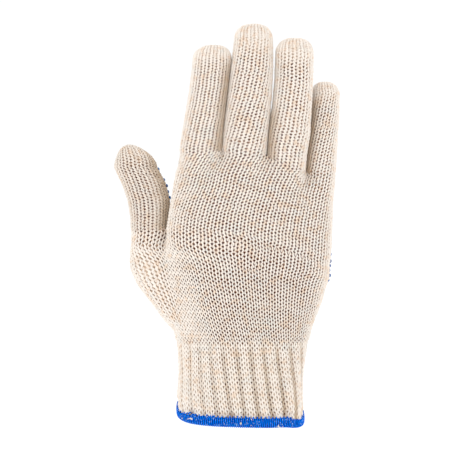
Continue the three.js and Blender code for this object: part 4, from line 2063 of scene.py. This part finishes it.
@dataclass
class DotField:
    """Plastic drops in staggered rows on the palm side of a sleeve.

    Attributes:
        name: The piece's name.
        node: The solid that it stands for.
        facing: Direction of the dotted side, in degrees from the palm towards the little finger.
        limit: How far round from there the dots go, in degrees.
        low, high: The range of heights that has dots.
        pitch, row: Distances from dot to dot in a row and from row to row.
        radius, rise: A dot's half width, and its height over the fabric.
        bulge: A range of heights where the dots go farther round.
        extra: How much farther, in degrees.
        margin: The courses left free at both ends of the sleeve.
        samples: How many points the fabric is read at round the sleeve.
        least: The least height that half a course is taken to have.
        profile: A dot's outline from its lowest point to its top, in half widths and rises.
        sides: How many sides a dot has.
    """

    name: str
    node: str
    facing: float
    limit: float
    low: float
    high: float
    pitch: float = 4.3
    row: float = 3.7
    radius: float = 1.1
    rise: float = 0.85
    bulge: tuple[float, float] = (0.0, 0.0)
    extra: float = 22.0
    margin: float = 0.5
    samples: int = 400
    least: float = 0.2
    profile: tuple[tuple[float, float], ...] = (
        (0.0, -0.35), (1.0, -0.35), (0.93, 0.45), (0.55, 0.87), (0.0, 1.0))
    sides: int = 8

    def build(self, sleeves: Sequence[Sleeve], finish: Material) -> None:
        """Makes the drops of some sleeves one piece.

        Args:
            sleeves: The sleeves, built.
            finish: The drops' material.
        """
        points, normals = (np.concatenate(parts) for parts in zip(*map(self.spots, sleeves)))
        piece = self.drops(points, normals, finish)
        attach(piece, BODY)
        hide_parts(self.node)
        log.info("%s: %d dots", self.name, len(points))

    def spots(self, sleeve: Sleeve) -> tuple[Array, Array]:
        """Finds the places of the drops, in rows that lie evenly along the dotted side's middle.

        Args:
            sleeve: The sleeve, built.

        Returns:
            Their points, and the normals there.
        """
        surface = sleeve.surface
        way = np.radians(self.facing)
        front = np.array([np.sin(way), np.cos(way), 0.0])
        wales = np.linspace(0, surface.wales, self.samples, endpoint=False)
        course = self.margin
        middle = int(np.argmax(surface.at(wales, np.full(self.samples, course)).normals @ front))
        shift = self.samples // 2 - middle
        rows = []
        while course < surface.rows - self.margin:
            places = surface.at(wales, np.full(self.samples, course))
            points = places.raised(sleeve.relief.push(places))
            staggered = 0.5 * (len(rows) % 2)
            rows.append(self.row_of(np.roll(points, shift, 0), np.roll(places.normals, shift, 0),
                                    staggered, front))
            here, half_on = surface.at(wales[[middle, middle]], np.array([course, course + 0.5])).points
            course += 0.5 * self.row / max(float(np.linalg.norm(half_on - here)), self.least)
        points, normals = (np.concatenate(parts) for parts in zip(*rows))
        return points, unit(normals)

    def row_of(self, points: Array, normals: Array, staggered: float,
               front: Array) -> tuple[Array, Array]:
        """Finds the drops of one row: even steps both ways from the middle.

        Args:
            points, normals: The fabric round the sleeve, with the dotted side's middle half way.
            staggered: How many steps the row is moved along.
            front: The dotted side's direction.

        Returns:
            The drops' points, and the normals there.
        """
        along, half = lengths(points), self.samples // 2
        along -= along[half]
        wanted = (np.arange(-half, half + 1) + staggered) * self.pitch
        wanted = wanted[(wanted > along[0]) & (wanted < along[-1])]
        spot, normal = read_along(wanted, along, points), read_along(wanted, along, normals)
        height = spot[:, 2]
        bulges = (height > self.bulge[0]) & (height < self.bulge[1])
        keep = normal @ front > np.cos(np.radians(self.limit + self.extra * bulges))
        keep &= (height > self.low) & (height < self.high)
        return spot[keep], normal[keep]

    def drops(self, points: Array, normals: Array, finish: Material) -> Piece:
        """Makes one dome at each place: its profile turned round, closed above and below.

        Args:
            points, normals: The places.
            finish: The material.

        Returns:
            The piece.
        """
        turn = 2 * np.pi * np.arange(self.sides) / self.sides
        wide, high = np.array(self.profile).T * [[self.radius], [self.rise]]
        local = np.stack([
            np.outer(wide[1:-1], np.cos(turn)), np.outer(wide[1:-1], np.sin(turn)),
            np.repeat(high[1:-1, None], self.sides, 1)], -1).reshape(-1, 3)
        local = np.concatenate([local, [[0, 0, high[0]], [0, 0, high[-1]]]])
        side = unit(np.cross(normals, [0.0, 0.0, 1.0]))
        axes = np.stack([side, np.cross(normals, side), normals], 1)
        skin = points[:, None] + np.einsum("pk,nkd->npd", local, axes)
        start = np.arange(len(points))[:, None, None] * len(local)
        return make_piece(self.name, skin.reshape(-1, 3), (self.dome() + start).reshape(-1, 3), finish)

    def dome(self) -> Array:
        """Works out a dome's triangles.

        Returns:
            Their corners, numbered ring by ring, then the lowest point and the highest.
        """
        rings = len(self.profile) - 2
        edge = np.arange(self.sides)
        beside = (edge + 1) % self.sides
        start = np.arange(rings - 1)[:, None] * self.sides
        a, b = start + edge, start + beside
        above_a, above_b = a + self.sides, b + self.sides
        walls = np.stack([np.stack([a, b, above_b], -1), np.stack([a, above_b, above_a], -1)])
        last = (rings - 1) * self.sides
        bottom = np.full(self.sides, rings * self.sides)
        floor = np.stack([bottom, beside, edge], -1)
        cap = np.stack([bottom + 1, last + edge, last + beside], -1)
        return np.concatenate([walls.reshape(-1, 3), floor, cap])


@dataclass(frozen=True)
class Lamp:
    """A large soft lamp, turned to the middle of the glove.

    Attributes:
        name: Its name.
        place: Where it stands.
        power: Its power in watts.
        size: Its width.
        target: The middle of the glove.
    """

    name: str
    place: tuple[float, float, float]
    power: float
    size: float = 900.0
    target: tuple[float, float, float] = (0.0, 0.0, 110.0)

    def build(self) -> None:
        """Makes the lamp."""
        data = bpy.data.lights.new(self.name, "AREA")
        data.size = self.size * MM
        data.energy = self.power
        lamp = bpy.data.objects.new(self.name, data)
        lamp.location = [value * MM for value in self.place]
        lamp.rotation_euler = self.turns()
        bpy.context.scene.collection.objects.link(lamp)

    def turns(self) -> tuple[float, float, float]:
        """Returns the turns about the three axes that point it at its target."""
        x, y, z = np.array(self.target) - np.array(self.place)
        return (float(np.arctan2(np.hypot(x, y), -z)), 0.0, float(np.arctan2(-x, y)))


@dataclass
class Studio:
    """The pale floor, the soft light and the camera.

    Attributes:
        floor_height: Where the floor lies, well below the glove.
        floor_half: Half its width, which fills the view below the horizon.
        floor_grey: Its grey, up to 255.
        floor_glow: How much light of its own it adds.
        sky: The strength of the light from all round.
        sensor: The width of the camera's sensor.
        lamps: The lamps.
    """

    floor_height: float = -120.0
    floor_half: float = 12000.0
    floor_grey: float = 240.0
    floor_glow: float = 0.2
    sky: float = 1.04
    sensor: float = 36.0
    lamps: tuple[Lamp, ...] = (
        Lamp("front_lamp", (-300.0, -1500.0, 500.0), 1.6),
        Lamp("top_lamp", (200.0, -300.0, 1300.0), 0.8),
    )

    def build(self) -> None:
        """Makes the stage, the lights and the camera."""
        self.camera()
        self.floor()
        self.light()
        view = bpy.context.scene.view_settings
        view.view_transform = "Standard"
        view.look = "None"

    def camera(self) -> None:
        """Sets the camera square to the back of the glove, at the photograph's frame."""
        data = bpy.data.cameras.new("camera")
        data.sensor_width = self.sensor
        data.lens = data.sensor_width * CAMERA_DISTANCE / (PHOTO_SIDE * PIXEL)
        camera = bpy.data.objects.new("camera", data)
        x = (PHOTO_SIDE / 2 - ORIGIN_PIXEL[0]) * PIXEL
        z = (ORIGIN_PIXEL[1] - PHOTO_SIDE / 2) * PIXEL
        camera.location = (x * MM, -CAMERA_DISTANCE * MM, z * MM)
        camera.rotation_euler = (np.pi / 2, 0.0, 0.0)
        bpy.context.scene.collection.objects.link(camera)
        bpy.context.scene.camera = camera

    def floor(self) -> None:
        """Makes the floor."""
        corners = np.array([(-1, -1, 0), (1, -1, 0), (1, 1, 0), (-1, 1, 0)]) * self.floor_half
        corners[:, 2] = self.floor_height
        graph = Graph("pale_floor")
        shader = graph.node("ShaderNodeBsdfPrincipled", {}, {
            "Base Color": srgb(*[self.floor_grey] * 3), "Roughness": 0.9, "Specular IOR Level": 0.1,
            "Emission Color": WHITE, "Emission Strength": self.floor_glow})
        floor = make_piece("floor", corners, np.array([[0, 1, 2, 3]]), graph.finish(shader))

    def light(self) -> None:
        """Lights the glove from all round, and with the lamps in front and above."""
        world = bpy.data.worlds.new("studio")
        bpy.context.scene.world = world
        world.use_nodes = True
        shade = world.node_tree.nodes["Background"].inputs
        shade["Color"].default_value = WHITE
        shade["Strength"].default_value = self.sky
        for lamp in self.lamps:
            lamp.build()


# How far below a finger's tip its dots end
TIP_FREE = 3.0


def main() -> None:
    """Builds the glove and the studio."""
    logging.basicConfig(level=logging.INFO, format="%(message)s")
    Studio().build()
    cotton = CottonFinish().material()
    thread = ThreadFinish().material()
    plastic = DotFinish().material()
    knitting = Knitting(cotton, ShadeShellFinish().material())

    fingers = {finger.name: finger.shape() for finger in (*FINGERS, THUMB)}
    knuckles, heel = Palm().shape(fingers)
    for finger in (*FINGERS, THUMB):
        knitting.knit(finger.name, fingers[finger.name], finger.node, closed=True)
    knitting.knit("knuckle", knuckles, "palm_knuckles")
    knitting.knit("heel", heel, "palm_heel")
    knitting.knit("cuff", Cuff().shape(), "cuff_rib", Slot.RIB)
    Hem().build(thread, knitting.chance)

    for finger in FINGERS:
        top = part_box(finger.node)[1].z / MM - TIP_FREE
        drops = DotField(f"{finger.name}_drops", f"{finger.name}_dots", facing=0.0, limit=58.0,
                         low=0.0, high=top)
        drops.build([fingers[finger.name]], plastic)
    thumb_drops = DotField("thumb_drops", "thumb_dots", facing=45.0, limit=50.0, low=0.0, high=148.0)
    thumb_drops.build([fingers["thumb"]], plastic)
    palm_drops = DotField("palm_drops", "palm_dots", facing=10.0, limit=58.0, low=56.0, high=200.0,
                          bulge=(79.0, 98.5))
    palm_drops.build([knuckles, heel], plastic)


if __name__ == "__main__":
    main()
